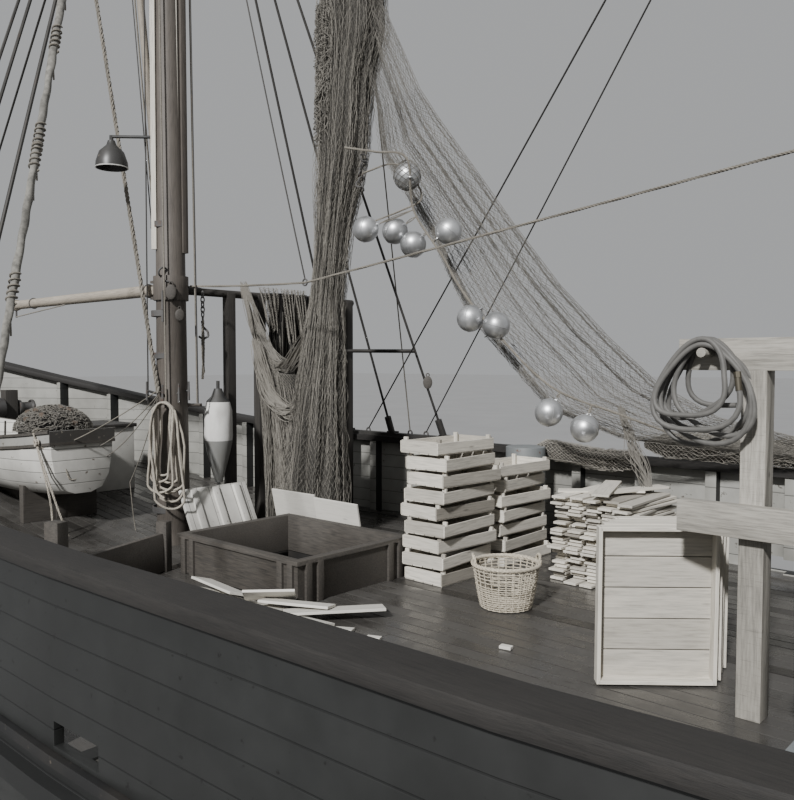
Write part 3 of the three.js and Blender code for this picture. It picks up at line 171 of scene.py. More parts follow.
# Node materials, built on the piece's own coordinates
class Finish:
    """A node material that is put together step by step."""

    def __init__(self, name, roughness=0.7, metallic=0.0, source="Object"):
        self.material = bpy.data.materials.new(name)
        self.material.use_nodes = True
        self.tree = self.material.node_tree
        self.shader = self.tree.nodes["Principled BSDF"]
        self.shader.inputs["Roughness"].default_value = roughness
        self.shader.inputs["Metallic"].default_value = metallic
        if source == "Object":
            self.point = self.add("ShaderNodeTexCoord").outputs["Object"]
        else:
            self.point = self.add("ShaderNodeAttribute", attribute_name=source).outputs["Vector"]

    def add(self, kind, inputs=None, **settings):
        made = self.tree.nodes.new(kind)
        for key, value in settings.items():
            setattr(made, key, value)
        for key, value in (inputs or {}).items():
            self.feed(made.inputs[key], value)
        return made

    def feed(self, socket, value):
        """Links a socket to another, or gives it a value."""
        if isinstance(value, bpy.types.NodeSocket):
            self.tree.links.new(value, socket)
        else:
            socket.default_value = (*value, 1.0) if socket.type == "RGBA" else value

    def stretched(self, stretch):
        return self.add("ShaderNodeMapping", {"Vector": self.point, "Scale": stretch}).outputs[0]

    def noise(self, scale, detail=5.0, stretch=(1, 1, 1), rough=0.55):
        return self.add("ShaderNodeTexNoise", {
            "Vector": self.stretched(stretch), "Scale": scale, "Detail": detail, "Roughness": rough,
        }).outputs["Fac"]

    def ramp(self, factor, stops):
        """Colours along a factor; one number stands for a grey."""
        made = self.add("ShaderNodeValToRGB", {"Fac": factor})
        elements = made.color_ramp.elements
        while len(elements) < len(stops):
            elements.new(0.5)
        for element, (place, colour) in zip(elements, stops):
            element.position = place
            element.color = (*((colour,) * 3 if isinstance(colour, (int, float)) else colour), 1.0)
        return made.outputs["Color"]

    def fade(self, factor, start, end, strength):
        """A mask that grows from nothing to its strength between two values of a factor."""
        return self.ramp(factor, [(start, 0.0), (end, strength)])

    def cells(self, stretch, scale=1.0, **settings):
        return self.add("ShaderNodeTexVoronoi", {"Vector": self.stretched(stretch), "Scale": scale},
                        **settings).outputs["Distance"]

    def math(self, operation, a, b=0.0):
        made = self.add("ShaderNodeMath", operation=operation)
        for socket, value in zip(made.inputs, (a, b)):
            self.feed(socket, value)
        return made.outputs[0]

    def mix(self, factor, a, b, blend="MIX"):
        made = self.add("ShaderNodeMix", data_type="RGBA", blend_type=blend, clamp_result=True)
        for index, value in ((0, factor), (6, a), (7, b)):
            self.feed(made.inputs[index], value)
        return made.outputs[2]

    def axis(self, letter):
        return self.add("ShaderNodeSeparateXYZ", {"Vector": self.point}).outputs[letter]

    def distance(self, letter, place):
        """How far a point is from a place on an axis."""
        return self.math("ABSOLUTE", self.math("SUBTRACT", self.axis(letter), place))

    def seams(self, letter, spacing, width):
        """1 along joints that repeat with that spacing along an axis, 0 between them."""
        near = self.math("PINGPONG", self.axis(letter), spacing / 2)
        return self.add("ShaderNodeMapRange", {"Value": near, "From Min": width * 0.35, "From Max": width * 0.65,
            "To Min": 1.0, "To Max": 0.0}).outputs[0]

    def strake(self, letter, spacing):
        """A random value for each board between the joints."""
        number = self.math("FLOOR", self.math("DIVIDE", self.axis(letter), spacing))
        return self.add("ShaderNodeTexWhiteNoise", {"W": number}, noise_dimensions="1D").outputs["Value"]

    def colour(self, socket):
        self.tree.links.new(socket, self.shader.inputs["Base Color"])

    def rough(self, factor, low, high):
        spread = self.add("ShaderNodeMapRange", {"Value": factor, "To Min": low, "To Max": high})
        self.tree.links.new(spread.outputs[0], self.shader.inputs["Roughness"])

    def bump(self, height, strength, distance):
        made = self.add("ShaderNodeBump", {"Height": height, "Strength": strength, "Distance": distance})
        normal = self.shader.inputs["Normal"]
        if normal.is_linked:
            self.tree.links.new(normal.links[0].from_socket, made.inputs["Normal"])
        self.tree.links.new(made.outputs[0], normal)


def shade(colour, factor):
    """A colour made lighter or darker."""
    return tuple(min(1.0, c * factor) for c in colour)


def toward(colour, other, share):
    """A colour moved part of the way to another."""
    return tuple(c + share * (o - c) for c, o in zip(colour, other))


GREY_WEATHER = (0.30, 0.29, 0.27)
GRAIN_STRETCH = {"X": (1, 14, 14), "Y": (14, 1, 14), "Z": (14, 14, 1)}
# Timber frame: its posts along X, the heights of its beams, and how far from their middle each one's grain reaches
POSTS, BEAMS = (-2.82, -4.27), (above(1.0275), above(1.8725))
POST_REACH, BEAM_REACH = 0.064, 0.084


def wood(name, colour, grain="X", roughness=0.72, weather=0.35, contrast=0.45, posts=()):
    """Timber with long grain, weathered patches, dark checks and a worn surface; grain and knots of a frame
    follow its posts and beams."""
    made = Finish(name, roughness)
    stretch = GRAIN_STRETCH[grain]
    long_grain = made.noise(7.0, 7.0, stretch, 0.6)
    fine_grain = made.noise(34.0, 4.0, stretch, 0.7)
    patches = made.noise(2.1, 4.0)
    checks = made.noise(11.0, 3.0, tuple(s * 2.2 if s > 1 else s * 0.7 for s in stretch), 0.5)
    if posts:
        on_post = [made.math("LESS_THAN", made.distance("X", x), POST_REACH) for x in posts]
        off_beam = [made.math("GREATER_THAN", made.distance("Z", z), BEAM_REACH) for z in BEAMS]
        upright = made.math("MULTIPLY", made.math("ADD", *on_post), made.math("MULTIPLY", *off_beam))
        long_grain = made.mix(upright, long_grain, made.noise(7.0, 7.0, GRAIN_STRETCH["Z"], 0.6))
        fine_grain = made.mix(upright, fine_grain, made.noise(34.0, 4.0, GRAIN_STRETCH["Z"], 0.7))
    body = made.ramp(long_grain, [
        (0.28, shade(colour, 1 - contrast)), (0.52, colour), (0.78, shade(colour, 1 + contrast * 0.8))])
    aged = made.mix(made.math("MULTIPLY", patches, weather), body, toward(shade(colour, 1.25), GREY_WEATHER, 0.35))
    if posts:
        knots = made.ramp(made.cells((2.0, 6, 6)), [(0.03, 0.8), (0.12, 0.0)])
        aged = made.mix(knots, aged, shade(colour, 0.35))
    cracked = made.mix(made.fade(checks, 0.60, 0.70, 0.55), aged, shade(colour, 0.3))
    made.colour(made.mix(made.fade(made.noise(0.8, 3.0), 0.45, 0.75, 0.4), cracked, shade(colour, 0.55)))
    made.rough(fine_grain, roughness - 0.10, roughness + 0.12)
    made.bump(long_grain, 0.35, 0.004)
    made.bump(fine_grain, 0.30, 0.0015)
    made.bump(checks, 0.15, 0.003)
    return made.material


def board_wood(name, colour, roughness=0.75, contrast=0.30, weather=0.3, wet=False):
    """Timber of separate boards: grain along each board, and each board its own tone."""
    made = Finish(name, roughness, source="grain")
    long_grain = made.noise(6.0, 7.0, GRAIN_STRETCH["X"], 0.6)
    fine_grain = made.noise(30.0, 4.0, GRAIN_STRETCH["X"], 0.7)
    patches = made.noise(2.6, 4.0)
    body = made.ramp(long_grain, [
        (0.25, shade(colour, 1 - contrast)), (0.5, colour), (0.8, shade(colour, 1 + contrast * 0.6))])
    aged = made.mix(made.math("MULTIPLY", patches, weather), body, toward(shade(colour, 0.8), GREY_WEATHER, 0.5))
    knots = made.ramp(made.cells((2.2, 9, 9)), [(0.02, 0.8), (0.10, 0.0)])
    tone = made.add("ShaderNodeAttribute", attribute_name="tone").outputs["Fac"]
    tones = made.ramp(tone, [(0.0, (0.38, 0.37, 0.36)), (0.22, 0.74), (1.0, 1.0)])
    made.colour(made.mix(1.0, made.mix(knots, aged, shade(colour, 0.35)), tones, "MULTIPLY"))
    if wet:
        made.rough(made.fade(patches, 0.42, 0.58, 1.0), 0.16, roughness)
    else:
        made.rough(fine_grain, roughness - 0.1, roughness + 0.1)
    made.bump(long_grain, 0.3, 0.003)
    made.bump(fine_grain, 0.25, 0.001)
    return made.material


PAINT_SEAM, STRAKE = 0.008, 0.17


def paint(name, colour, boards=None, chips=0.35, roughness=0.5, under=(0.16, 0.13, 0.10), outside=None):
    """Brushed paint with grime and with chips down to the ground. It can show board joints, and have another
    colour on faces that look away from the centreline."""
    made = Finish(name, roughness)
    brush = made.noise(5.0, 6.0)
    grime = made.noise(1.3, 5.0, (1, 1, 0.35))
    body = made.ramp(brush, [(0.3, shade(colour, 0.86)), (0.7, shade(colour, 1.08))])
    dirty = made.mix(made.fade(grime, 0.45, 0.8, 0.55), body, toward(shade(colour, 0.55), (0.12, 0.10, 0.08), 0.4))
    bare = made.fade(made.noise(16.0, 9.0, rough=0.65), 0.66 - 0.04 * chips, 0.70 - 0.04 * chips, chips * 2)
    chipped = made.mix(bare, dirty, under)
    if boards:
        tones = made.ramp(made.strake(*boards), [(0.0, 0.84), (1.0, 1.0)])
        joint = made.seams(*boards, PAINT_SEAM)
        chipped = made.mix(made.math("MULTIPLY", joint, 0.75), made.mix(1.0, chipped, tones, "MULTIPLY"),
                           shade(colour, 0.25))
        made.bump(made.math("SUBTRACT", 1.0, joint), 0.6, 0.006)
    if outside:
        look = made.add("ShaderNodeSeparateXYZ", {
            "Vector": made.add("ShaderNodeTexCoord").outputs["Normal"]}).outputs["Y"]
        outward = made.math("GREATER_THAN", made.math("MULTIPLY", made.math("SIGN", made.axis("Y")), look), -0.35)
        chipped = made.mix(outward, chipped, made.mix(
            1.0, chipped, tuple(a / b for a, b in zip(outside, colour)), "MULTIPLY"))
    made.colour(chipped)
    made.rough(brush, roughness - 0.12, roughness + 0.15)
    made.bump(brush, 0.12, 0.002)
    return made.material


def metal(name, colour, roughness=0.45, rust=0.5, metallic=0.9):
    """Worn metal with stains, rust in patches and a brushed sheen."""
    made = Finish(name, roughness, metallic)
    stain = made.noise(4.0, 7.0, rough=0.65)
    fine = made.noise(60.0, 3.0)
    body = made.ramp(stain, [(0.3, shade(colour, 0.7)), (0.7, shade(colour, 1.2))])
    patches = made.fade(made.noise(9.0, 8.0, rough=0.7), 0.55, 0.72, rust)
    made.colour(made.mix(patches, body, (0.13, 0.062, 0.032)))
    made.rough(stain, roughness - 0.1, min(1.0, roughness + 0.25))
    made.bump(stain, 0.2, 0.002)
    made.bump(fine, 0.1, 0.0006)
    return made.material


def fibre(name, colour, roughness=0.92, scale=70.0, spread=0.4):
    """Twine, rope and cane: fibres with dusty and damp stretches."""
    made = Finish(name, roughness)
    strand = made.noise(scale, 4.0)
    patch = made.noise(3.2, 4.0)
    body = made.ramp(strand, [(0.3, shade(colour, 1 - spread)), (0.7, shade(colour, 1 + spread))])
    made.colour(made.mix(made.fade(patch, 0.40, 0.75, 0.6), body, shade(colour, 0.6)))
    made.shader.inputs["Sheen Weight"].default_value = 0.15
    made.rough(patch, roughness - 0.08, min(1.0, roughness + 0.06))
    made.bump(strand, 0.4, 0.0015)
    return made.material


def bundle_netting(name, colour, stretch=(9, 9, 1.2)):
    """The look of many layers of hung netting: long streaks crossed by small meshes, with painted shade in the dark
    valleys between the streaks and in the mesh holes.
    """
    made = Finish(name, 0.95)
    streak = made.noise(3.4, 8.0, stretch, 0.7)
    cell = made.cells((1, 1, 0.45), 55.0, feature="DISTANCE_TO_EDGE")
    # The darkest stops of this ramp and the dark mesh holes below are painted shade between folds and layers
    body = made.ramp(streak, [(0.34, shade(colour, 0.16)), (0.52, shade(colour, 0.62)), (0.74, colour)])
    made.colour(made.mix(made.fade(cell, 0.02, 0.16, 0.75), body, shade(colour, 0.2)))
    made.bump(streak, 0.9, 0.03)
    made.bump(cell, 0.5, 0.006)
    return made.material


def glass(name):
    made = Finish(name, 0.06)
    smear = made.noise(6.0, 4.0)
    made.colour(made.ramp(smear, [(0.3, (0.025, 0.032, 0.034)), (0.8, (0.06, 0.07, 0.072))]))
    made.rough(smear, 0.04, 0.16)
    made.bump(smear, 0.05, 0.001)
    return made.material


def hull_paint(name, colours):
    """Dark topsides over a pale band at the waterline and red-brown below it, in strakes."""
    made = Finish(name, 0.5)
    height = made.add("ShaderNodeMapRange", {"Value": made.axis("Z"), "From Min": -0.5, "From Max": 0.5})
    band = (0.45, 0.44, 0.40)
    sides = made.ramp(height.outputs[0], [
        (0.0, colours.boot), (0.548, colours.boot), (0.552, band), (0.618, band), (0.622, colours.hull)])
    salt = made.noise(1.6, 6.0, (0.5, 0.5, 2.0))
    dusty = made.mix(made.fade(salt, 0.48, 0.8, 0.35), sides, (0.085, 0.085, 0.08))
    toned = made.mix(1.0, dusty, made.ramp(made.strake("Z", STRAKE), [(0.0, 0.8), (1.0, 1.0)]), "MULTIPLY")
    joint = made.seams("Z", STRAKE, 0.012)
    scuffs = made.fade(made.noise(13.0, 9.0, (0.35, 1, 1), 0.7), 0.66, 0.70, 0.4)
    scuffed = made.mix(scuffs, toned, (0.085, 0.072, 0.06))
    made.colour(made.mix(made.math("MULTIPLY", joint, 0.7), scuffed, (0.012, 0.012, 0.012)))
    made.rough(salt, 0.38, 0.68)
    made.bump(made.math("SUBTRACT", 1.0, joint), 0.5, 0.008)
    made.bump(made.noise(8.0, 6.0, (0.3, 1, 1)), 0.2, 0.003)
    return made.material


def two_tone(name, upper, lower, height, cap_height, cap):
    """A buoy painted in three bands along its height, with brushed dirt."""
    made = Finish(name, 0.55)
    z = made.axis("Z")
    low = made.math("GREATER_THAN", z, height)
    high = made.math("GREATER_THAN", z, cap_height)
    bands = made.mix(high, made.mix(low, lower, upper), cap)
    dirt = made.noise(6.0, 7.0, (1, 1, 0.5))
    made.colour(made.mix(made.fade(dirt, 0.45, 0.75, 0.4), bands, (0.12, 0.11, 0.09)))
    made.rough(dirt, 0.4, 0.75)
    made.bump(dirt, 0.2, 0.002)
    return made.material


FINISHES = {}


def make(maker, name, *look, **more):
    """Makes a finish and keeps it under its plain name."""
    FINISHES[name] = maker(name, *look, **more)


def make_finishes(colours):
    """Every material of the vessel."""
    make(hull_paint, "hull_paint", colours)
    # The bulwark's outer faces take the hull colour with its painted shadow; its inner faces are light paint
    make(paint, "bulwark_paint", (0.30, 0.295, 0.27), ("Z", 0.15), chips=0.5, under=(0.10, 0.09, 0.075),
         outside=shade(colours.hull, 1.5))
    make(paint, "white_boards", colours.white, ("Y", 0.14), chips=0.45)
    make(paint, "white_sides", colours.white, ("X", 0.11), chips=0.45)
    make(paint, "skiff_paint", colours.white, ("Z", 0.125), chips=0.5)
    # Painted shade: this is the grey sheer strake's paint drawn dark where it crosses the shaded transom
    make(paint, "sheer_paint", (0.055, 0.052, 0.048), chips=0.9, under=(0.20, 0.18, 0.15))
    make(paint, "sheer_grey", (0.30, 0.295, 0.275), chips=0.9, under=(0.12, 0.11, 0.09))
    make(paint, "grey_paint", colours.grey, chips=0.6, under=(0.10, 0.05, 0.03))
    make(paint, "pitch", (0.010, 0.010, 0.010), chips=0.2, roughness=0.6)
    make(paint, "lamp_paint", (0.035, 0.036, 0.036), chips=0.4, roughness=0.4)
    make(paint, "lamp_rim", (0.75, 0.74, 0.70), chips=0.2, roughness=0.35)
    make(two_tone, "buoy", (0.66, 0.65, 0.62), (0.20, 0.20, 0.19), above(1.02), above(1.42), (0.03, 0.03, 0.03))
    make(glass, "glass")
    # rail_wood and door_wood take the cap rail colour with its painted shadow
    make(wood, "rail_wood", colours.rail, "X", 0.72, weather=0.12, contrast=0.6)
    make(wood, "door_wood", shade(colours.rail, 1.6), "Z", 0.5)
    make(wood, "mast_wood", colours.mast, "Z", 0.62, weather=0.5, contrast=0.55)
    make(wood, "spar_long", colours.spar, "X", 0.68, weather=0.5)
    make(wood, "spar_tall", colours.spar, "Z", 0.68, weather=0.5)
    make(wood, "worn_long", shade(colours.worn, 0.78), "X", 0.7, weather=0.45, contrast=0.95)
    make(wood, "worn_across", shade(colours.worn, 0.78), "Y", 0.7, weather=0.6, contrast=0.8)
    # Partly painted shade: upright worn timber darkened to stand for the shaded fronts of the net rack's posts
    make(wood, "worn_tall", shade(colours.worn, 0.38), "Z", 0.75, weather=0.3)
    # Partly painted shade: the frame's raw timber is darkened for the shaded faces of its posts
    make(wood, "frame_wood", shade(colours.raw, 0.48), weather=0.4, contrast=0.50, posts=POSTS)
    make(board_wood, "deck_wood", colours.deck, 0.46, 0.40, 0.45, wet=True)
    make(board_wood, "raw_boards", colours.raw, contrast=0.42)
    make(board_wood, "white_wood", toward(colours.white, colours.raw, 0.3), 0.6, 0.15)
    make(board_wood, "worn_boards", colours.worn, 0.7, 0.45)
    for name, factor in (("netting", 1.0), ("heap_netting", 0.42), ("veil_netting", 0.42), ("hung_netting", 0.66)):
        make(fibre, name, shade(colours.net, factor), scale=240.0)
    # Painted shade: the cores' twine colour is darkened to stand for the shade inside the gathered net
    make(bundle_netting, "net_bundle", shade(colours.net, 0.40))
    make(bundle_netting, "net_bundle_long", shade(colours.net, 0.5), (1.2, 9, 9))
    # Partly painted shade: the dark netting of the curtain behind the rack
    make(bundle_netting, "dark_netting", colours.dark_net, (5, 9, 0.8))
    make(fibre, "rope", colours.rope, scale=110.0)
    make(fibre, "pale_rope", shade(colours.rope, 1.9), scale=110.0)
    make(fibre, "canvas", (0.17, 0.163, 0.145), 0.9, 26.0, 0.45)
    make(fibre, "rubber", colours.hose, 0.62, 18.0, 0.18)
    make(fibre, "wicker", colours.wicker, 0.7, 90.0, 0.35)
    make(fibre, "cork", (0.085, 0.062, 0.045), 0.9, 60.0, 0.5)
    make(metal, "wire", colours.wire, 0.55, 0.2, 0.6)
    make(metal, "steel", colours.steel, 0.5, 0.6)
    make(metal, "rusty", shade(colours.steel, 0.7), 0.7, 0.95, 0.6)
    make(metal, "float_metal", colours.float, 0.34, 0.04, 0.85)
    make(metal, "bronze", colours.bronze, 0.42, 0.15)
    make(metal, "dull_bronze", (0.085, 0.075, 0.055), 0.5, 0.3, 0.6)


# Pieces from bmesh
def new_piece(name, bm, finish, slot, **fit):
    """Turns a bmesh into a finished piece that rides on a body."""
    bmesh.ops.remove_doubles(bm, verts=bm.verts, dist=1e-6)
    bmesh.ops.recalc_face_normals(bm, faces=bm.faces)
    mesh = bpy.data.meshes.new(name)
    bm.to_mesh(mesh)
    bm.free()
    return finish_mesh(name, mesh, finish, slot, **fit)


def round_edges(piece, width):
    """Rounds the worn edges of a piece."""
    rounding = piece.modifiers.new("worn_edges", "BEVEL")
    rounding.width = width
    rounding.segments = 2
    rounding.limit_method = "ANGLE"
    rounding.angle_limit = BEVEL_ANGLE
    return rounding


def finish_mesh(name, mesh, finish, slot, body=HULL, replaces=(), bevel=0.0, smooth=35.0):
    """Puts a mesh in the scene with its finish and body, and hides the nodes that it replaces; the slot is not used.
    """
    mesh.name = name
    mesh.materials.append(FINISHES[finish])
    mesh.shade_smooth()
    mesh.set_sharp_from_angle(angle=math.radians(smooth))
    made = linked(name, mesh)
    if bevel:
        round_edges(made, bevel).harden_normals = True
    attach(made, body)
    for node in replaces:
        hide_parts(node)
    return made


def smooth_by_angle():
    """A node group that smooths rounds and keeps steep edges sharp."""
    if "smooth_rounds" in bpy.data.node_groups:
        return bpy.data.node_groups["smooth_rounds"]
    group = bpy.data.node_groups.new("smooth_rounds", "GeometryNodeTree")
    for way in ("INPUT", "OUTPUT"):
        group.interface.new_socket("Geometry", in_out=way, socket_type="NodeSocketGeometry")
    start, end, plain, soft, edge, steep, hard = (group.nodes.new(kind) for kind in (
        "NodeGroupInput", "NodeGroupOutput", "GeometryNodeRemoveAttribute", "GeometryNodeSetShadeSmooth",
        "GeometryNodeInputMeshEdgeAngle", "FunctionNodeCompare", "GeometryNodeSetShadeSmooth"))
    plain.inputs["Name"].default_value = "custom_normal"
    steep.operation = "GREATER_THAN"
    steep.inputs[1].default_value = SMOOTH_ANGLE
    hard.domain = "EDGE"
    hard.inputs["Shade Smooth"].default_value = False
    for source, target in ((start.outputs[0], plain.inputs["Geometry"]), (plain.outputs[0], soft.inputs["Geometry"]),
            (edge.outputs["Unsigned Angle"], steep.inputs[0]), (soft.outputs[0], hard.inputs["Geometry"]),
            (steep.outputs[0], hard.inputs["Selection"]), (hard.outputs[0], end.inputs[0])):
        group.links.new(source, target)
    return group


def dress(finish, bevel, *nodes):
    """Gives CAD nodes their finish, with loose triangles joined, worn edges and smooth rounds."""
    for node in nodes:
        piece = NODES[node]
        piece.data.materials.clear()
        piece.data.materials.append(FINISHES[finish])
        piece.modifiers.new("weld", "WELD").merge_threshold = 0.00005
        if bevel:
            flats = piece.modifiers.new("flats", "DECIMATE")
            flats.decimate_type = "DISSOLVE"
            flats.angle_limit = math.radians(1)
            round_edges(piece, bevel)
        piece.modifiers.new("smooth_rounds", "NODES").node_group = smooth_by_angle()


def add_board(bm, size, matrix, draw, tone=None):
    """A board of length, width and thickness, with its own grain and tone."""
    grain = bm.verts.layers.float_vector.get("grain") or bm.verts.layers.float_vector.new("grain")
    shades = bm.verts.layers.float.get("tone") or bm.verts.layers.float.new("tone")
    made = bmesh.ops.create_cube(bm, size=1.0, matrix=Matrix.Diagonal((*size, 1.0)))["verts"]
    shift = Vector([draw.uniform(0, 9) for _ in range(3)])
    tone = draw.random() if tone is None else tone
    for v in made:
        v[grain] = v.co + shift
        v[shades] = tone
    bmesh.ops.transform(bm, matrix=matrix, verts=made)


def cut_across(bm, step):
    """Cuts a whole bmesh across at even steps along X, so that its planks can follow the sheer."""
    for k in range(round(-9.0 / step), round(9.0 / step) + 1):
        bmesh.ops.bisect_plane(bm, geom=[*bm.verts, *bm.edges, *bm.faces], dist=1e-5,
                               plane_co=(k * step, 0, 0), plane_no=(1, 0, 0))


def skin_piece(name, place, sides, along, finish, slot="netting", **fit):
    """A closed tube as a piece: its corners are put by the share round it and the share along it."""
    bm = bmesh.new()
    bmesh.ops.create_cone(bm, cap_ends=True, cap_tris=False, segments=sides, radius1=1.0, radius2=1.0, depth=1.0)
    lines = [e for e in bm.edges if abs(e.verts[0].co.z - e.verts[1].co.z) > 0.5]
    bmesh.ops.subdivide_edges(bm, edges=lines, cuts=along - 1)
    for v in bm.verts:
        v.co = place(math.atan2(v.co.y, v.co.x) / tau % 1.0, v.co.z + 0.5)
    new_piece(name, bm, finish, slot, **fit)


def sheet_piece(name, place, across, down, finish, thick, **fit):
    """A sheet of net as a piece: its corners are put by their share across and their share down."""
    bm = bmesh.new()
    for v in bmesh.ops.create_grid(bm, x_segments=across, y_segments=down, size=0.5)["verts"]:
        v.co = place(v.co.x + 0.5, 0.5 - v.co.y)
    made = new_piece(name, bm, finish, "netting", smooth=180, **fit)
    made.modifiers.new("thickness", "SOLIDIFY").thickness = thick


def placed(x, y, z, turn=0.0, pitch=0.0, roll=0.0):
    """A matrix that rolls, pitches and turns a piece, then puts it in its place."""
    return (Matrix.Translation((x, y, z)) @ Matrix.Rotation(turn, 4, "Z")
            @ Matrix.Rotation(pitch, 4, "Y") @ Matrix.Rotation(roll, 4, "X"))


def between(start, end):
    """A matrix whose Z axis runs from one point to another, with its centre midway."""
    start, end = Vector(start), Vector(end)
    turn = (end - start).to_track_quat("Z", "Y").to_matrix().to_4x4()
    return Matrix.Translation((start + end) / 2) @ turn


def add_bar(bm, start, end, radius, end_radius=None, sides=12):
    """A round bar with closed ends between two points."""
    bmesh.ops.create_cone(bm, cap_ends=True, cap_tris=False, segments=sides, radius1=radius,
        radius2=radius if end_radius is None else end_radius,
        depth=(Vector(end) - Vector(start)).length, matrix=between(start, end))


def add_plank(bm, start, end, thick, high):
    """An upright plank between two points, a little longer than their distance."""
    start, end = Vector(start), Vector(end)
    along = (end - start).normalized()
    across = along.cross(Vector((0, 0, 1))).normalized()
    turn = Matrix((along, across, along.cross(across))).transposed().to_4x4()
    size = Matrix.Diagonal(((end - start).length * 1.004, thick, high, 1.0))
    bmesh.ops.create_cube(bm, size=1.0, matrix=Matrix.Translation((start + end) / 2) @ turn @ size)


def add_pulley(bm, centre, turn, size):
    """A rope block: two rounded cheeks, a sheave between them and an eye above."""
    frame = placed(*centre, turn)
    for side in (1, -1):
        bmesh.ops.create_uvsphere(bm, u_segments=16, v_segments=10, radius=size, matrix=frame @ placed(
            0, side * size * 0.32, 0) @ Matrix.Diagonal((0.72, 0.16, 1, 1)))
    bmesh.ops.create_cone(bm, cap_ends=True, segments=20, radius1=size * 0.62, radius2=size * 0.62,
                          depth=size * 0.4, matrix=frame @ QUARTER_X)
    add_ring(bm, centre + Vector((0, 0, size * 1.15)), size * 0.24, size * 0.08,
             Matrix.Rotation(turn, 4, "Z") @ QUARTER_X, steps=14)


def spin_round(bm, verts, steps):
    """Spins vertices and their edges a full turn round the Z axis."""
    edges = list({e for v in verts for e in v.link_edges})
    bmesh.ops.spin(bm, geom=edges + verts, cent=(0, 0, 0), axis=(0, 0, 1), dvec=(0, 0, 0), angle=tau,
                   steps=steps, use_merge=True)


def add_ring(bm, centre, major, minor, matrix=Matrix(), steps=28, sides=8):
    """A round ring about the Z axis of a matrix."""
    before = set(bm.verts)
    loop = bmesh.ops.create_circle(bm, segments=sides, radius=minor, cap_ends=False)["verts"]
    bmesh.ops.transform(bm, verts=loop, matrix=Matrix.Translation((major, 0, 0)) @ QUARTER_X)
    spin_round(bm, loop, steps)
    bmesh.ops.transform(bm, verts=[v for v in bm.verts if v not in before],
                        matrix=Matrix.Translation(centre) @ matrix)


# Bars, ropes and nets along lines
def new_curve(name):
    curve = bpy.data.curves.new(name, "CURVE")
    curve.dimensions = "3D"
    curve.use_fill_caps = True
    return curve


def add_spline(curve, points):
    spline = curve.splines.new("POLY")
    spline.points.add(len(points) - 1)
    spline.points.foreach_set("co", [c for p in points for c in (*p, 1.0)])
    return spline


def tube_mesh(lines, radius, sides=4, closed=False):
    """A mesh of round bars of one radius along lines of points."""
    curve = new_curve("bars")
    if sides == 3:
        section = bpy.data.curves.new("section", "CURVE")
        add_spline(section, [around(radius, tau * k / 3) for k in range(3)]).use_cyclic_u = True
        profile = linked("section", section)
        curve.bevel_mode, curve.bevel_object = "OBJECT", profile
    else:
        curve.bevel_depth, curve.bevel_resolution = radius, max(0, (sides - 4) // 2)
    for line in lines:
        spline = add_spline(curve, line)
        spline.use_cyclic_u = closed
        spline.use_smooth = sides > 4
    holder = linked("bars", curve)
    depsgraph = bpy.context.evaluated_depsgraph_get()
    mesh = bpy.data.meshes.new_from_object(holder.evaluated_get(depsgraph))
    bpy.data.objects.remove(holder)
    bpy.data.curves.remove(curve)
    if sides == 3:
        bpy.data.objects.remove(profile)
        bpy.data.curves.remove(section)
    mesh.materials.clear()
    return mesh


def rope_mesh(line, radius, strand):
    """A laid rope of three strands along a line."""
    return tube_mesh(laid_strands(line, radius), strand)


def lines_piece(name, lines, radius, finish, slot, sides=6, **fit):
    return finish_mesh(name, tube_mesh(lines, radius, sides), finish, slot, smooth=50.0, **fit)


def twine_piece(name, lines, radius, finish, **fit):
    """Twine of a net, three-sided since there is so much of it."""
    return lines_piece(name, lines, radius, finish, "netting", sides=3, **fit)


def joined(name, meshes, finish, slot, **fit):
    """Several meshes as one piece."""
    bm = bmesh.new()
    for mesh in meshes:
        bm.from_mesh(mesh)
        bpy.data.meshes.remove(mesh)
    made = bpy.data.meshes.new(name)
    bm.to_mesh(made)
    bm.free()
    return finish_mesh(name, made, finish, slot, smooth=50.0, **fit)


def curve_points(controls, step):
    """Points at even steps along a smooth curve through the control points."""
    controls = [Vector(c) for c in controls]
    padded = [2 * controls[0] - controls[1], *controls, 2 * controls[-1] - controls[-2]]
    points = []
    for a, b, c, d in zip(padded, padded[1:], padded[2:], padded[3:]):
        count = max(1, round((c - b).length / step))
        for i in range(count):
            t = i / count
            points.append(0.5 * (2 * b + (c - a) * t + (2 * a - 5 * b + 4 * c - d) * t ** 2
                                 + (3 * b - a - 3 * c + d) * t ** 3))
    return [*points, controls[-1]]


def sagging(start, end, sag=0.0, steps=12):
    """A line that hangs a little between two points."""
    start, end = Vector(start), Vector(end)
    return [start.lerp(end, i / steps) - Vector((0, 0, 4 * sag * (i / steps) * (1 - i / steps)))
            for i in range(steps + 1)]


def laid_strands(points, radius, lay=7.0, strands=3):
    """The strands of a laid rope: helices round a line of points."""
    points = [Vector(p) for p in points]
    lines = [[] for _ in range(strands)]
    side = (points[1] - points[0]).orthogonal().normalized()
    run = 0.0
    for i, point in enumerate(points):
        along = (points[min(i + 1, len(points) - 1)] - points[max(i - 1, 0)]).normalized()
        side = (side - along * side.dot(along)).normalized()
        up = along.cross(side)
        if i:
            run += (point - points[i - 1]).length
        for k, line in enumerate(lines):
            turn = tau * (run / (lay * radius) + k / strands)
            line.append(point + swung(side, up, turn) * radius * 0.5)
    return lines


def net_strands(surface, columns, rows):
    """Zigzag strands that meet at their knots, as diamonds over a surface of (u, v) from 0 to 1."""
    return [[surface(i / columns, (row + (i + row) % 2) / rows) for i in range(columns + 1)] for row in range(rows)]


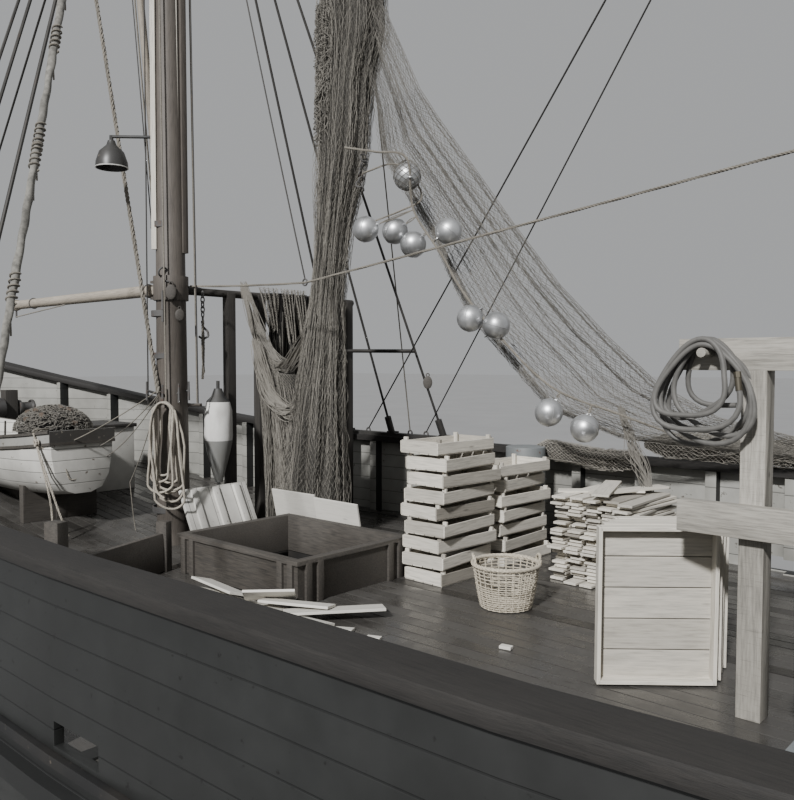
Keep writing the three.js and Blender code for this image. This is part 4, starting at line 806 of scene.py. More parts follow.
def streaks(surface, count, draw, steps=24, length=(0.2, 0.6), sway=0.012):
    """Gathered twine: wavy lines that run down a surface of (u, v), each over its own stretch."""
    lines = []
    for _ in range(count):
        u, reach = draw.random(), draw.uniform(*length)
        start, phase = draw.uniform(0.0, 1.0 - reach), draw.uniform(0, 6)
        lines.append([surface(u + sway * sin(phase + 0.8 * i), start + reach * i / steps) for i in range(steps + 1)])
    return lines


def column_at(rows, height):
    """A row of numbers between the rows of a table whose first column is the height."""
    for low, high in zip(rows, rows[1:]):
        if height <= high[0]:
            t = max(0.0, (height - low[0]) / (high[0] - low[0]))
            return [a + t * (b - a) for a, b in zip(low, high)]
    return list(rows[-1])


def rail_rows():
    """x, half breadth and top of the cap rail, from its own corners."""
    rows = {}
    for v in NODES["cap_rail"].data.vertices:
        x = round(v.co.x, 2)
        half, top = rows.get(x, (0.0, -9.0))
        rows[x] = (max(half, abs(v.co.y)), max(top, v.co.z))
    return [(x, *rows[x]) for x in sorted(rows)]


RAIL_OVERHANG = 0.015
RAIL_ROWS = rail_rows()


def rail_at(x):
    """Half breadth at the rail's outer edge, and the height of its top."""
    return column_at(RAIL_ROWS, x)[1:]


def deck_rows():
    """x and height of the deck's edge, from the deck's own corners."""
    rows = {}
    for v in NODES["deck"].data.vertices:
        x = round(v.co.x, 2)
        half = rail_at(x)[0] - RAIL_OVERHANG
        if abs(abs(v.co.y) - half) < 0.05:
            rows[x] = max(rows.get(x, -9.0), v.co.z)
    return [(x, rows[x]) for x in sorted(rows)]


DECK_ROWS = deck_rows()


def deck_z(x):
    return column_at(DECK_ROWS, x)[1]


# Operators: one for each piece or group of like pieces, with the functions that it calls above it
class Build(bpy.types.Operator):
    """Base of the operators: makes the pieces and reports that it is done"""

    def execute(self, context):
        self.build(context.scene.trawler_sizes)
        return {"FINISHED"}


class TRAWLER_OT_finishes(Build):
    """Makes every material of the vessel"""

    bl_idname = "trawler.finishes"
    bl_label = "Finishes"

    def build(self, sizes):
        make_finishes(bpy.context.scene.trawler_colours)


CAMERA_PLACE = (-4.26, 4.67, 2.78)
CAMERA_TOWARD = (0.669, -0.743, -0.0454)
# Level directions in the picture: toward the eye, and to its right
TOWARD_EYE, PICTURE_RIGHT = Vector((-0.669, 0.743, 0)), Vector((-0.743, -0.669, 0))
FOCAL_PIXELS, FRAME_HEIGHT, SENSOR = 825.0, 800.0, 36.0
SUN_TOWARD, SUN_STRENGTH, SKY_STRENGTH = (0.24, -0.78, -0.57), 5.5, 0.68


def aim(made, toward):
    """Turns a camera or a light along a direction."""
    made.rotation_mode = "QUATERNION"
    made.rotation_quaternion = Vector(toward).to_track_quat("-Z", "Y")


class TRAWLER_OT_stage(Build):
    """Camera at the photograph's angle, pale floor at the waterline and soft studio light"""

    bl_idname = "trawler.stage"
    bl_label = "Stage"

    def build(self, sizes):
        camera = linked("camera", bpy.data.cameras.new("camera"))
        camera.data.sensor_width = SENSOR
        camera.data.lens = FOCAL_PIXELS / FRAME_HEIGHT * SENSOR
        camera.data.clip_end = 500.0
        camera.location = CAMERA_PLACE
        aim(camera, CAMERA_TOWARD)
        bpy.context.scene.camera = camera
        bm = bmesh.new()
        bmesh.ops.create_grid(bm, x_segments=2, y_segments=2, size=150.0)
        mesh = bpy.data.meshes.new("floor")
        bm.to_mesh(mesh)
        bm.free()
        pale = Finish("floor_paper", 0.9)
        pale.colour(pale.ramp(pale.noise(0.4, 2.0), [(0.3, 0.23), (0.7, 0.25)]))
        mesh.materials.append(pale.material)
        linked("floor", mesh)
        key = linked("key", bpy.data.lights.new("key", "SUN"))
        key.data.energy = SUN_STRENGTH
        key.data.angle = math.radians(4)
        aim(key, SUN_TOWARD)
        world = bpy.data.worlds.new("studio")
        world.use_nodes = True
        sky = world.node_tree.nodes["Background"].inputs
        sky["Color"].default_value = (0.60, 0.61, 0.62, 1)
        sky["Strength"].default_value = SKY_STRENGTH
        bpy.context.scene.world = world


# Hose coil and hank of rope: the free cords
HOSE_CENTRE = middle("hose_coil")
HOSE_PEG_TOP, HANK_PIN_DROP = 0.193, 0.055
# Turns of the hose: radius, place along the peg, layer on it and swing to the side
HOSE_TURNS = [(0.235, -0.052, 0, 0.02), (0.180, -0.050, 1, -0.07), (0.255, -0.018, 0, 0.04),
              (0.200, -0.016, 1, 0.10), (0.225, 0.018, 0, -0.09), (0.262, 0.020, 1, -0.02),
              (0.190, 0.052, 0, 0.08), (0.240, 0.054, 1, 0.03)]
HANK_TURN = math.atan2(6, -5) - pi / 2
# Turns of the hank: width, height, place across the bundle and lean to the side
HANK_TURNS = [(0.22, 0.80, -0.030, 0.0), (0.30, 0.90, -0.026, 0.02), (0.20, 0.72, -0.004, 0.03),
              (0.32, 0.98, 0.000, -0.06), (0.40, 0.86, 0.024, -0.10), (0.24, 0.78, 0.028, 0.02),
              (0.36, 1.04, 0.052, -0.12), (0.30, 0.88, 0.050, 0.0), (0.46, 0.96, 0.074, -0.15)]


def wound(path, turns, steps):
    """A cord wound in turns: round a closed path, easing into the next turn at each one's end."""
    points = []
    turns = [Vector(turn) for turn in turns]
    for turn, ahead in zip(turns, [*turns[1:], turns[-1]]):
        for i in range(steps):
            shift = max(0.0, (i / steps - 0.75) / 0.25)
            points.append(path(i / steps, turn.lerp(ahead, shift * shift * (3 - 2 * shift))))
    return points


def cord_piece(name, points, diameter, finish, slot, node, **cord):
    """A free cord as a curve in place of its CAD node."""
    curve = new_curve(name)
    curve.bevel_depth = diameter / 2
    curve.bevel_resolution = 4
    add_spline(curve, points)
    curve.materials.append(FINISHES[finish])
    made = linked(name, curve)
    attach(made, HULL)
    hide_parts(node)
    length = sum((b - a).length for a, b in zip(points, points[1:]))
    tuple(points[0])


class TRAWLER_OT_hose(Build):
    """Coiled hose on its peg, with a coupling at its end"""

    bl_idname = "trawler.hose"
    bl_label = "Hose coil"

    def build(self, sizes):
        def path(share, turn):
            radius, along, layer, swing = turn
            angle = pi / 2 - tau * share
            drop = (1 - sin(angle)) / 2
            wave = 0.018 * sin(3 * angle + 60 * along) * drop
            top = HOSE_PEG_TOP + sizes.hose * (0.5 + layer) + 0.003
            return HOSE_CENTRE + Vector((
                (radius + wave) * cos(angle) * (0.62 + 0.5 * drop) + swing * drop, along * (1 + 0.9 * drop),
                top - radius + (radius + wave) * sin(angle)))

        points = wound(path, HOSE_TURNS, 40)[:-9]
        bm = bmesh.new()
        end, before = points[-1], points[-3]
        along = (end - before).normalized()
        add_bar(bm, end - along * 0.02, end + along * 0.045, sizes.hose * 0.58, sides=16)
        add_bar(bm, end + along * 0.045, end + along * 0.075, sizes.hose * 0.66, sides=6)
        coupling = new_piece("hose_coupling", bm, "dull_bronze", "bronze", bevel=0.001)
        cord_piece("hose_turns", points, sizes.hose, "rubber", "hose_rubber", "hose_coil",
                   far_end="fitting", stiffness="medium", with_pieces=[coupling])


class TRAWLER_OT_hank(Build):
    """Hank of rope hung on the mast's pin"""

    bl_idname = "trawler.hank"
    bl_label = "Rope hank"

    def build(self, sizes):
        wide = around(1.0, HANK_TURN)
        deep = Vector((-wide.y, wide.x, 0))
        pin = middle("rope_hank")
        pin.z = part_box("rope_hank")[1].z - HANK_PIN_DROP

        def path(share, turn):
            width, height, across, lean = turn
            angle = pi / 2 - tau * share
            level = (height - width) / 2 * max(-1.0, min(1.0, 2.2 * sin(angle)))
            drop = (1 - sin(angle)) / 2
            loose = 0.020 * sin(5 * angle + 90 * across) * (1 - abs(sin(angle)))
            out = (width / 2 * cos(angle) * (0.55 + 0.45 * drop) + loose + drop * (lean + 0.04 * sin(40 * across)))
            return (pin + wide * out + deep * across * (0.8 + 0.5 * drop)
                    + Vector((0, 0, level + width / 2 * sin(angle) - height / 2)))

        cord_piece("hank_turns", wound(path, HANK_TURNS, 36)[:-20], sizes.hank, "pale_rope", "rope_fibre",
                   "rope_hank", far_end="knot", stiffness="limp")


class TRAWLER_OT_hull(Build):
    """Paint and planks of the hull, its backbone, rudder, propeller and engine"""

    bl_idname = "trawler.hull"
    bl_label = "Hull"

    def build(self, sizes):
        dress("hull_paint", 0.0, "hull", "keel", "rudder")
        dress("bronze", 0.004, "propeller")
        dress("grey_paint", 0.01, "engine")
        dress("bulwark_paint", 0.004, "bulwark_port", "bulwark_starboard")
        dress("rail_wood", 0.012, "cap_rail")


def margin_planks(side, name, sizes, draw):
    """The margin planks that cover the ends of the deck planks."""
    bm = bmesh.new()
    joints = [DECK_ROWS[0][0] + 0.06, -4.1, 0.3, 4.4, 8.6]
    for a, b in zip(joints, joints[1:]):
        add_board(bm, (b - a - 0.004, 1.0, 0.04), placed((a + b) / 2, 0.0, 0.0), draw)
    cut_across(bm, 0.3)
    for v in bm.verts:
        half = rail_at(v.co.x)[0]
        y = half - 0.06 if v.co.y * side > 0 else max(half - 0.08 - sizes.margin, 0.02)
        v.co = Vector((v.co.x, side * y, deck_z(v.co.x) + (0.012 if v.co.z > 0 else -0.028)))
    new_piece(f"margin_plank_{name}", bm, "deck_wood", "deck_planks", bevel=0.004)


class TRAWLER_OT_deck(Build):
    """Deck of separate planks over pitched seams, with a margin plank along each bulwark"""

    bl_idname = "trawler.deck"
    bl_label = "Deck planks"

    def build(self, sizes):
        draw = random.Random(11)
        base = bmesh.new()
        base.from_mesh(NODES["deck"].data)
        bmesh.ops.remove_doubles(base, verts=base.verts, dist=1e-5)
        for v in base.verts:
            if v.co.z > deck_z(v.co.x) - 0.03:
                v.co.z -= 0.006
        new_piece("deck_pitch", base, "pitch", "deck_planks", replaces=["deck"])
        bm = bmesh.new()
        wells = [(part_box("hatch_coaming"), 0.065), (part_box("deckhouse"), 0.0)]
        count = int(3.0 / sizes.plank)
        for i in range(-count, count):
            y0, y1 = i * sizes.plank + sizes.seam / 2, (i + 1) * sizes.plank - sizes.seam / 2
            reach = max(abs(y0), abs(y1))
            inside = [x / 20 for x in range(-185, 182) if rail_at(x / 20)[0] - 0.10 > reach]
            if len(inside) < 8:
                continue
            spans = [(inside[0], inside[-1])]
            for (low, high), gap in wells:
                if low.y + gap < (y0 + y1) / 2 < high.y - gap:
                    spans = [piece for a, b in spans
                             for piece in ((a, min(b, low.x + gap)), (max(a, high.x - gap), b))
                             if piece[1] - piece[0] > 0.1]
            for a, b in spans:
                butts = [a]
                while b - butts[-1] > 6.5:
                    butts.append(butts[-1] + draw.uniform(3.4, 5.6))
                butts.append(b)
                for c, d in zip(butts, butts[1:]):
                    add_board(bm, (d - c - 0.004, y1 - y0, 0.03), placed((c + d) / 2, (y0 + y1) / 2, 0.0), draw)
        cut_across(bm, 0.5)
        for v in bm.verts:
            v.co.z += deck_z(v.co.x) - 0.015
        new_piece("deck_boards", bm, "deck_wood", "deck_planks", bevel=0.003)
        for side, name in ((1, "port"), (-1, "starboard")):
            margin_planks(side, name, sizes, draw)


# Blocks: place as x, y and height above the deck, turn and size
BLOCKS = [((2.84, 0.10, 2.52), 0.8, 0.075), ((2.82, 0.02, 2.30), 1.2, 0.060), ((2.98, -0.17, 8.70), 0.4, 0.09),
          ((3.02, 0.19, 8.60), 0.4, 0.08), ((1.745, -1.33, 7.26), 0.9, 0.09), ((-4.5, 0.0, 7.64), 0.2, 0.07),
          ((1.842, -2.636, 1.60), 0.7, 0.075), ((-7.5, 0.08, 6.60), 0.0, 0.06)]


def battens():
    """Pale battens up both sides of the mast, as seen from the port quarter; the one on the picture's left is partly
    a painted highlight for the mast's sunlit side.
    """
    draw = random.Random(5)
    bm = bmesh.new()
    # The first batten lies where the mast's sunlit side shows: partly a painted highlight
    for out, foot, head, width in ((-0.098, 2.95, 8.7, 0.050), (0.128, 2.72, 8.7, 0.055),
                                   (0.035, 0.72, 2.28, 0.070)):
        low = at_mast(foot) + PICTURE_RIGHT * out
        high = at_mast(head) + PICTURE_RIGHT * out * 0.78
        outward = TOWARD_EYE * math.sqrt(max(0.0, 0.152 ** 2 - out ** 2))
        add_board(bm, ((high - low).length, width, 0.03),
                  Matrix.Translation(outward) @ between(low, high) @ QUARTER_Y, draw, 0.9)
    new_piece("mast_battens", bm, "raw_boards", "pale_spar", bevel=0.004)


def ironwork():
    """Bands and straps round the mast and the spars' ends."""
    bm = bmesh.new()
    for height, radius in ((0.35, 0.17), (1.9, 0.158), (2.32, 0.156), (3.2, 0.149), (8.75, 0.118)):
        hoop(bm, radius, 0.012, 0.06, at_mast(height))
    new_piece("mast_bands", bm, "rusty", "worn_steel", bevel=0.002)
    low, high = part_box("boom")
    tip, height = high.x, (low.z + high.z) / 2
    bm = bmesh.new()
    for x, radius in ((tip - 0.02, 0.062), (tip - 0.09, 0.066), (tip - 0.6, 0.062), (low.x + 0.17, 0.066)):
        add_ring(bm, (x, 0, height), radius, 0.007, QUARTER_Y)
    add_bar(bm, (tip - 0.09, 0, height - 0.065), (tip - 0.09, 0, height - 0.16), 0.012)
    new_piece("boom_bands", bm, "rusty", "worn_steel", body="boom")


def mast_gear():
    """Gooseneck strap, cleats, pins and blocks at the height of the boom."""
    bm = bmesh.new()
    for turn, height, reach in ((2.3, 2.30, 0.20), (2.3, 2.42, 0.20), (1.2, 1.52, 0.22), (3.0, 1.50, 0.22),
                                (3.6, 1.52, 0.22), (2.3, 1.49, 0.24)):
        out = around(1.0, turn)
        foot = at_mast(height) + out * 0.13
        tip = foot + out * (reach - 0.13) + Vector((0, 0, 0.03))
        add_bar(bm, foot, tip, 0.012)
        add_bar(bm, tip - Vector((0, 0, 0.10)), tip + Vector((0, 0, 0.09)), 0.013, 0.009)
    add_ring(bm, at_mast(2.72, -0.13, 0.14), 0.045, 0.010, Matrix.Rotation(1.2, 4, "Y"))
    add_ring(bm, at_mast(2.62, -0.15, 0.10), 0.032, 0.009, Matrix.Rotation(0.4, 4, "X"))
    add_bar(bm, at_mast(2.585, -0.04, -0.21), at_mast(2.575, -0.04, -0.36), 0.028)
    new_piece("mast_ironwork", bm, "rusty", "worn_steel", bevel=0.002)
    bm = bmesh.new()
    for (x, y, height), turn, size in BLOCKS:
        add_pulley(bm, Vector((x, y, above(height))), turn, size)
    new_piece("rope_blocks", bm, "worn_across", "worn_wood", bevel=0.002)


def hoop(bm, radius, thick, high, centre):
    """A flat band round an upright spar."""
    before = set(bm.verts)
    section = ((radius, -high / 2), (radius + thick, -high / 2), (radius + thick, high / 2), (radius, high / 2))
    verts = [bm.verts.new((r, 0, z)) for r, z in section]
    for k in range(4):
        bm.edges.new((verts[k - 1], verts[k]))
    spin_round(bm, verts, 28)
    bmesh.ops.translate(bm, verts=[v for v in bm.verts if v not in before], vec=centre)


class TRAWLER_OT_spars(Build):
    """Mast, boom, derrick and mizzen, with battens, iron bands, pins and blocks"""

    bl_idname = "trawler.spars"
    bl_label = "Spars"

    def build(self, sizes):
        dress("mast_wood", 0.004, "mast")
        dress("spar_long", 0.003, "boom", "mizzen_boom")
        dress("spar_tall", 0.003, "derrick", "mizzen_mast")
        battens()
        ironwork()
        mast_gear()


ROPE_RING, ROPE_POST, TACKLE = (1.56, -0.51), (-4.45, -0.60), (2.935, -0.33)
RUNNER = [(3.0, 0.10, 10.3), (0.55, 2.85, 0.98)]
RAIL_EYES = [(2.95, -2.80, 0.98), (2.02, -2.82, 0.98), (2.27, -2.82, 0.98), (0.55, 2.85, 0.96)]
# Lines: name, finish, radius, points as x, y and height above the deck, and what differs from a taut wire
RIGGING = [
    ("hoist_rope", "rope", 0.023, [(4.75, 0.0, 7.15), (2.946, 0.194, 1.53)], {"laid": True}),
    ("long_rope", "rope", 0.011, [(2.9, -0.16, 2.60), (*ROPE_RING, 2.575), (*ROPE_POST, 3.30)],
     {"laid": True, "sag": 0.01}),
    ("ring_line", "wire", 0.007, [(2.97, -0.15, 8.80), (*ROPE_RING, 2.61)], {"sag": 0.10}),
    ("net_hoist", "wire", 0.010, [(2.97, -0.14, 8.72), (1.755, -1.33, 7.32)], {}),
    ("mast_halyard_fore", "wire", 0.007, [(3.24, 0.10, 8.60), (3.22, 0.14, 1.40)], {}),
    ("mast_halyard_aft", "wire", 0.007, [(2.86, -0.14, 8.60), (2.80, -0.17, 1.42)], {}),
    ("mast_halyard_side", "rope", 0.009, [(2.90, -0.16, 8.60), (2.86, -0.20, 1.42)], {"sag": 0.01}),
    ("mast_halyard_mid", "rope", 0.008, [(2.93, 0.15, 8.60), (2.86, 0.16, 1.42)], {}),
    ("derrick_purchase_a", "wire", 0.006, [(3.99, -0.05, 7.62), (3.36, -0.03, 3.02)], {"body": "derrick"}),
    ("derrick_purchase_b", "rope", 0.009, [(4.03, -0.10, 7.62), (3.39, -0.08, 3.02)], {"body": "derrick"}),
    ("derrick_purchase_c", "wire", 0.006, [(3.97, -0.15, 7.62), (3.34, -0.15, 3.02)], {"body": "derrick"}),
    ("boom_fall", "rope", 0.008, [(6.57, 0.0, 2.42), (5.05, 0.10, 2.50)], {"body": "boom"}),
    ("triatic_stay", "wire", 0.008, [(3.0, 0.0, 10.45), (-7.5, 0.0, 6.80)], {"sag": 0.12}),
    ("guy_fore", "wire", 0.008, [(-4.5, 0.0, 7.74), (2.95, -2.80, 1.0)], {}),
    ("guy_aft", "wire", 0.007, [(-4.5, 0.0, 7.72), (2.02, -2.82, 1.0)], {}),
    ("wing_tail", "rope", 0.008, [(1.75, -1.42, 6.40), (2.27, -2.82, 1.0)], {"sag": 0.02}),
    ("port_runner", "wire", 0.012, RUNNER, {}),
    ("lashing_line_a", "rope", 0.006, [(3.0, 0.17, 1.55), (4.16, 0.52, 0.98)], {"sag": 0.03}),
    ("lashing_line_b", "rope", 0.005, [(3.0, 0.17, 1.50), (4.12, 0.20, 0.92)], {"sag": 0.05}),
    ("lashing_line_c", "rope", 0.005, [(3.0, 0.17, 1.48), (4.12, 0.12, 0.80)], {"sag": 0.07}),
    ("lashing_line_d", "rope", 0.005, [(3.0, 0.17, 1.46), (3.75, 0.05, 0.55), (3.70, 0.02, 0.03)], {"sag": 0.06}),
    ("mizzen_shroud_port", "wire", 0.008, [(-7.5, 0.06, 6.45), (-8.3, 1.50, 1.07)], {}),
    ("mizzen_shroud_starboard", "wire", 0.008, [(-7.5, -0.06, 6.45), (-8.3, -1.50, 1.07)], {}),
    ("mizzen_lift", "rope", 0.008, [(-9.20, 0.0, 3.08), (-7.80, 0.0, 3.10)], {"body": "mizzen_boom", "sag": 0.02}),
]


def rig_line(name, finish, radius, places, body=HULL, laid=False, sag=0.0):
    """One line between its fastenings, plain or laid from strands."""
    ends = raised(places)
    spans = list(zip(ends, ends[1:]))
    steps = [int(math.dist(a, b) / (radius * 1.1)) if laid else 12 for a, b in spans]
    line = [p for (a, b), count in zip(spans, steps) for p in sagging(a, b, sag, count)]
    if laid:
        line = [p for p, q in zip(line, line[1:]) if (p - q).length > 1e-6] + [line[-1]]
        finish_mesh(name, rope_mesh(line, radius, radius * 0.56), finish, "rope_fibre", body, smooth=80.0)
    else:
        slot = "rope_fibre" if finish == "rope" else "wire_rope"
        lines_piece(name, [line], radius, finish, slot, 8, body=body)


def runner_cover():
    """Canvas wrapped round the runner where it chafes, with rope lashings."""
    head, foot = (Vector(place) for place in raised(RUNNER))
    along = (foot - head).normalized()
    side = along.orthogonal().normalized()
    up = along.cross(side)

    def cover(u, v):
        turn = tau * u
        radius = 0.025 * (1 + 0.10 * sin(turn + 160 * v) + 0.30 * noise.noise(
            around(1.0, turn, 24 * v))) * min(1.0, 0.5 + 20 * v, 0.5 + 20 * (1 - v))
        return head.lerp(foot, 0.42 + 0.52 * v) + swung(side, up, turn) * radius

    skin_piece("runner_cover", cover, 16, 260, "canvas", "rope_fibre", smooth=70)
    lines = []
    for share in (0.50, 0.585, 0.60, 0.66, 0.74, 0.755, 0.85):
        wrap = [head.lerp(foot, share + 0.004 * i / 16) + swung(side, up, tau * i / 16) * 0.031 for i in range(81)]
        tail = [wrap[-1] + Vector(step) for step in ((0, 0, 0), (0.03, 0.02, -0.06), (0.01, 0.03, -0.20))]
        lines += [wrap, curve_points(tail, 0.03)]
    lines_piece("runner_lashings", lines, 0.006, "rope", "rope_fibre")


def tackle():
    """Chain, hook and doubled rope that hang from the rack's inboard end."""
    bm = bmesh.new()
    x, y = TACKLE
    for k, height in enumerate((2.53, 2.475, 2.425, 2.375, 2.325)):
        add_ring(bm, (x, y, above(height)), 0.020, 0.0065, Matrix.Rotation(pi / 2 * (k % 2), 4, "Z")
                 @ QUARTER_X @ Matrix.Diagonal((1, 1.55, 1, 1)), steps=18)
    hook = raised((x - out, y - out, height) for out, height in (
        (0, 2.31), (0.0, 2.20), (0.035, 2.15), (0.04, 2.10), (0.0, 2.07), (-0.03, 2.10)))
    for start, end in zip(hook, hook[1:]):
        add_bar(bm, start, end, 0.011)
    new_piece("tackle_iron", bm, "rusty", "worn_steel")
    meshes = []
    for gap, foot in ((0.022, 1.66), (-0.020, 1.72), (0.0, 1.92)):
        line = raised([(x + gap * 0.4, y, 2.26), (x + gap, y - gap, 2.05), (x + gap * 1.3, y - gap, 1.85),
                       (x + gap * 0.6, y, foot)])
        meshes.append(rope_mesh(curve_points(line, 0.016), 0.014, 0.0078))
    joined("tackle_rope", meshes, "rope", "rope_fibre")


def small_gear():
    """Ring on the long rope, the post that holds its end, and the eyes on the rails."""
    bm = bmesh.new()
    add_ring(bm, (*ROPE_RING, above(2.578)), 0.030, 0.008, QUARTER_X @ Matrix.Rotation(0.7, 4, "Z"), steps=20)
    add_bar(bm, (*ROPE_POST, above(2.90)), (*ROPE_POST, above(3.34)), 0.022, 0.018)
    add_ring(bm, (*ROPE_POST, above(3.32)), 0.035, 0.009, steps=18)
    for place in raised(RAIL_EYES):
        add_ring(bm, place, 0.030, 0.010, QUARTER_X, steps=16)
    new_piece("rope_irons", bm, "rusty", "worn_steel")


class TRAWLER_OT_rigging(Build):
    """Standing and running lines, taut between their fastenings, and the shrouds' dressing"""

    bl_idname = "trawler.rigging"
    bl_label = "Rigging"

    def build(self, sizes):
        dress("wire", 0.0, "forestay", "shrouds_port", "shrouds_starboard")
        for *row, differs in RIGGING:
            rig_line(*row, **differs)
        runner_cover()
        tackle()
        small_gear()


class TRAWLER_OT_hatch(Build):
    """Finishes of the hatch with its cover and pound board, of the net rack and of the timber frame"""

    bl_idname = "trawler.hatch"
    bl_label = "Hatch"

    def build(self, sizes):
        dress("worn_long", sizes.edge, "hatch_coaming", "pound_board")
        dress("white_boards", sizes.edge, "hatch_cover")
        dress("worn_tall", sizes.edge, "net_rack")
        dress("frame_wood", 0.004, "timber_frame")


BOX_SIZE = (0.74, 0.42)


def box_stack(node, count, seed, thick):
    """Boxes one on another, each turned a little: end, side and bottom boards and corner battens."""
    draw = random.Random(seed)
    low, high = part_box(node)
    pitch = (high.z - low.z) / count
    length, width = BOX_SIZE
    bm = bmesh.new()
    for level in range(count):
        base = placed((low.x + high.x) / 2 + draw.uniform(-0.025, 0.025),
                      (low.y + high.y) / 2 + draw.uniform(-0.03, 0.03), low.z + level * pitch,
                      pi / 2 + (1 if level % 2 else -1) * draw.uniform(0.02, 0.075))
        for side in (1, -1):
            add_board(bm, (length, thick, pitch * 0.68),
                      base @ placed(0, side * (width - thick) / 2, pitch * 0.34 + 0.01), draw)
            add_board(bm, (width - 2 * thick, thick * 1.3, pitch * 0.74), base @ placed(
                side * (length - 1.6 * thick) / 2, 0, pitch * 0.37 + 0.01) @ QUARTER_Z, draw)
            for end in (1, -1):
                add_board(bm, (pitch * 0.97, 0.04, 0.022), base @ placed(
                    end * (length / 2 - 0.045), side * (width / 2 - thick - 0.012), pitch * 0.49) @ QUARTER_Y, draw)
        for k in range(4):
            add_board(bm, (length - 0.004, width / 4 - 0.008, 0.010),
                      base @ placed(0, (k - 1.5) * width / 4, 0.006), draw)
    new_piece(f"{node}_boards", bm, "raw_boards", "raw_wood", replaces=[node], bevel=0.0025)


def board_layers():
    """Loose boards laid up in untidy layers."""
    draw = random.Random(8)
    low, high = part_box("board_stack")
    bm = bmesh.new()
    layers = 26
    for level in range(layers):
        z = low.z + (level + 0.5) * (high.z - low.z) / layers
        lay = draw.uniform(-0.06, 0.06)
        shift = draw.uniform(-0.05, 0.05)
        for k in range(5):
            if draw.random() < 0.1:
                continue
            add_board(bm, (draw.uniform(0.70, 0.86), draw.uniform(0.11, 0.14), 0.020), placed(
                low.x + (k + 0.5) * (high.x - low.x) / 5 + draw.uniform(-0.012, 0.012),
                (low.y + high.y) / 2 + shift + draw.uniform(-0.03, 0.03), z,
                pi / 2 + lay + draw.uniform(-0.03, 0.03)), draw)
    for k, (x, y, turn) in enumerate(((0.12, 0.02, 0.5), (-0.10, -0.06, 1.1), (0.02, 0.10, 1.9))):
        add_board(bm, (0.72, 0.14, 0.018), placed(
            (low.x + high.x) / 2 + x, (low.y + high.y) / 2 + y, high.z + 0.012 + 0.020 * k, turn, 0.03), draw)
    new_piece("board_stack_boards", bm, "raw_boards", "raw_wood", replaces=["board_stack"], bevel=0.0025)


class TRAWLER_OT_fish_boxes(Build):
    """Stacks of nailed fish boxes and the stack of loose boards"""

    bl_idname = "trawler.fish_boxes"
    bl_label = "Fish boxes"

    def build(self, sizes):
        box_stack("fish_boxes_inner", 9, 3, sizes.box_board)
        box_stack("fish_boxes_outer", 7, 4, sizes.box_board)
        board_layers()


class TRAWLER_OT_basket(Build):
    """Woven basket: stakes, weavers that pass in and out of them, and a twisted rim"""

    bl_idname = "trawler.basket"
    bl_label = "Basket"

    def build(self, sizes):
        low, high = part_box("fish_basket")
        centre = Vector(((low.x + high.x) / 2, (low.y + high.y) / 2, low.z))
        height, stakes = high.z - low.z - 0.02, 26

        def radius(share):
            return 0.185 + 0.062 * share ** 0.8

        lines = [[centre + around(radius(s), tau * k / stakes, s * height) for s in (0.02, 0.25, 0.5, 0.75, 1.0)]
                 for k in range(stakes)]
        steps = stakes * 4
        shares = [0.03 + 0.052 * row for row in range(11)] + [0.66, 0.74, 0.82, 0.90, 0.96]
        weavers = [[centre + around(radius(share) + 0.006 * cos(pi * i / 2 + pi * row) * 0.9,
                                    tau * i / steps, share * height) for i in range(steps)]
                   for row, share in enumerate(shares)]
        rim = [centre + around(0.250, tau * i / 160, height + 0.004) for i in range(161)]
        meshes = [tube_mesh(lines, 0.005, 6), tube_mesh(weavers, 0.0042, closed=True),
                  tube_mesh(laid_strands(rim, 0.014), 0.009, 6)]
        for turn in (0.74, 0.74 + pi):
            handle = [centre + around(0.25, turn + a, height + 0.05 * lift) for a, lift in (
                (-0.30, 0.0), (-0.26, 0.9), (0.0, 1.4), (0.26, 0.9), (0.30, 0.0))]
            meshes.append(rope_mesh(curve_points(handle, 0.012), 0.011, 0.0065))
        base = [[centre + around(0.185 * s, pi * k / 12, 0.012) for s in (-1, 1)] for k in range(12)]
        rings = [[centre + around(0.03 + 0.0155 * k, tau * i / 40, 0.014) for i in range(40)] for k in range(10)]
        meshes += [tube_mesh(base, 0.005), tube_mesh(rings, 0.006, closed=True)]
        joined("basket_weave", meshes, "wicker", "wicker", replaces=["fish_basket"])


# Loose boards: x, y, length, width, turn, height above the deck and roll
LOOSE_BOARDS = [
    (-0.04, 0.65, 0.72, 0.19, 0.90, 0.055, 0.12), (0.10, 0.95, 0.66, 0.20, 0.12, 0.05, 0.25),
    (1.22, 1.00, 0.62, 0.20, 0.25, 0.05, 0.20), (0.95, 0.92, 0.60, 0.18, -0.12, 0.10, 0.30),
    (0.62, 0.90, 0.70, 0.17, 0.12, 0.03, 0.20), (0.45, 0.84, 0.38, 0.22, 0.80, 0.11, 0.55),
    (0.22, 0.78, 0.55, 0.15, 0.42, 0.08, 0.15), (1.55, 1.02, 0.40, 0.16, 0.60, 0.02, 0.25),
    (0.30, 0.90, 0.50, 0.12, -0.25, 0.02, 0.05), (-0.27, 0.80, 0.16, 0.09, 0.50, 0.0, 0.10),
    (-0.55, 0.78, 0.10, 0.05, 0.40, 0.0, 0.0), (-1.30, 0.34, 0.08, 0.05, 0.20, 0.0, 0.0),
    (1.95, -0.735, 0.62, 0.52, 0.02, 0.285, 1.36), (1.34, -0.725, 0.60, 0.50, -0.02, 0.27, 1.38),
    (1.66, -0.80, 0.60, 0.30, 0.05, 0.30, 1.30), (0.90, -0.735, 0.50, 0.26, 0.03, 0.15, 1.30),
]


LAMP, TRAY_PLACE, TRAY_TURN = (3.4, 0.4), (-2.27, 0.27), 0.733


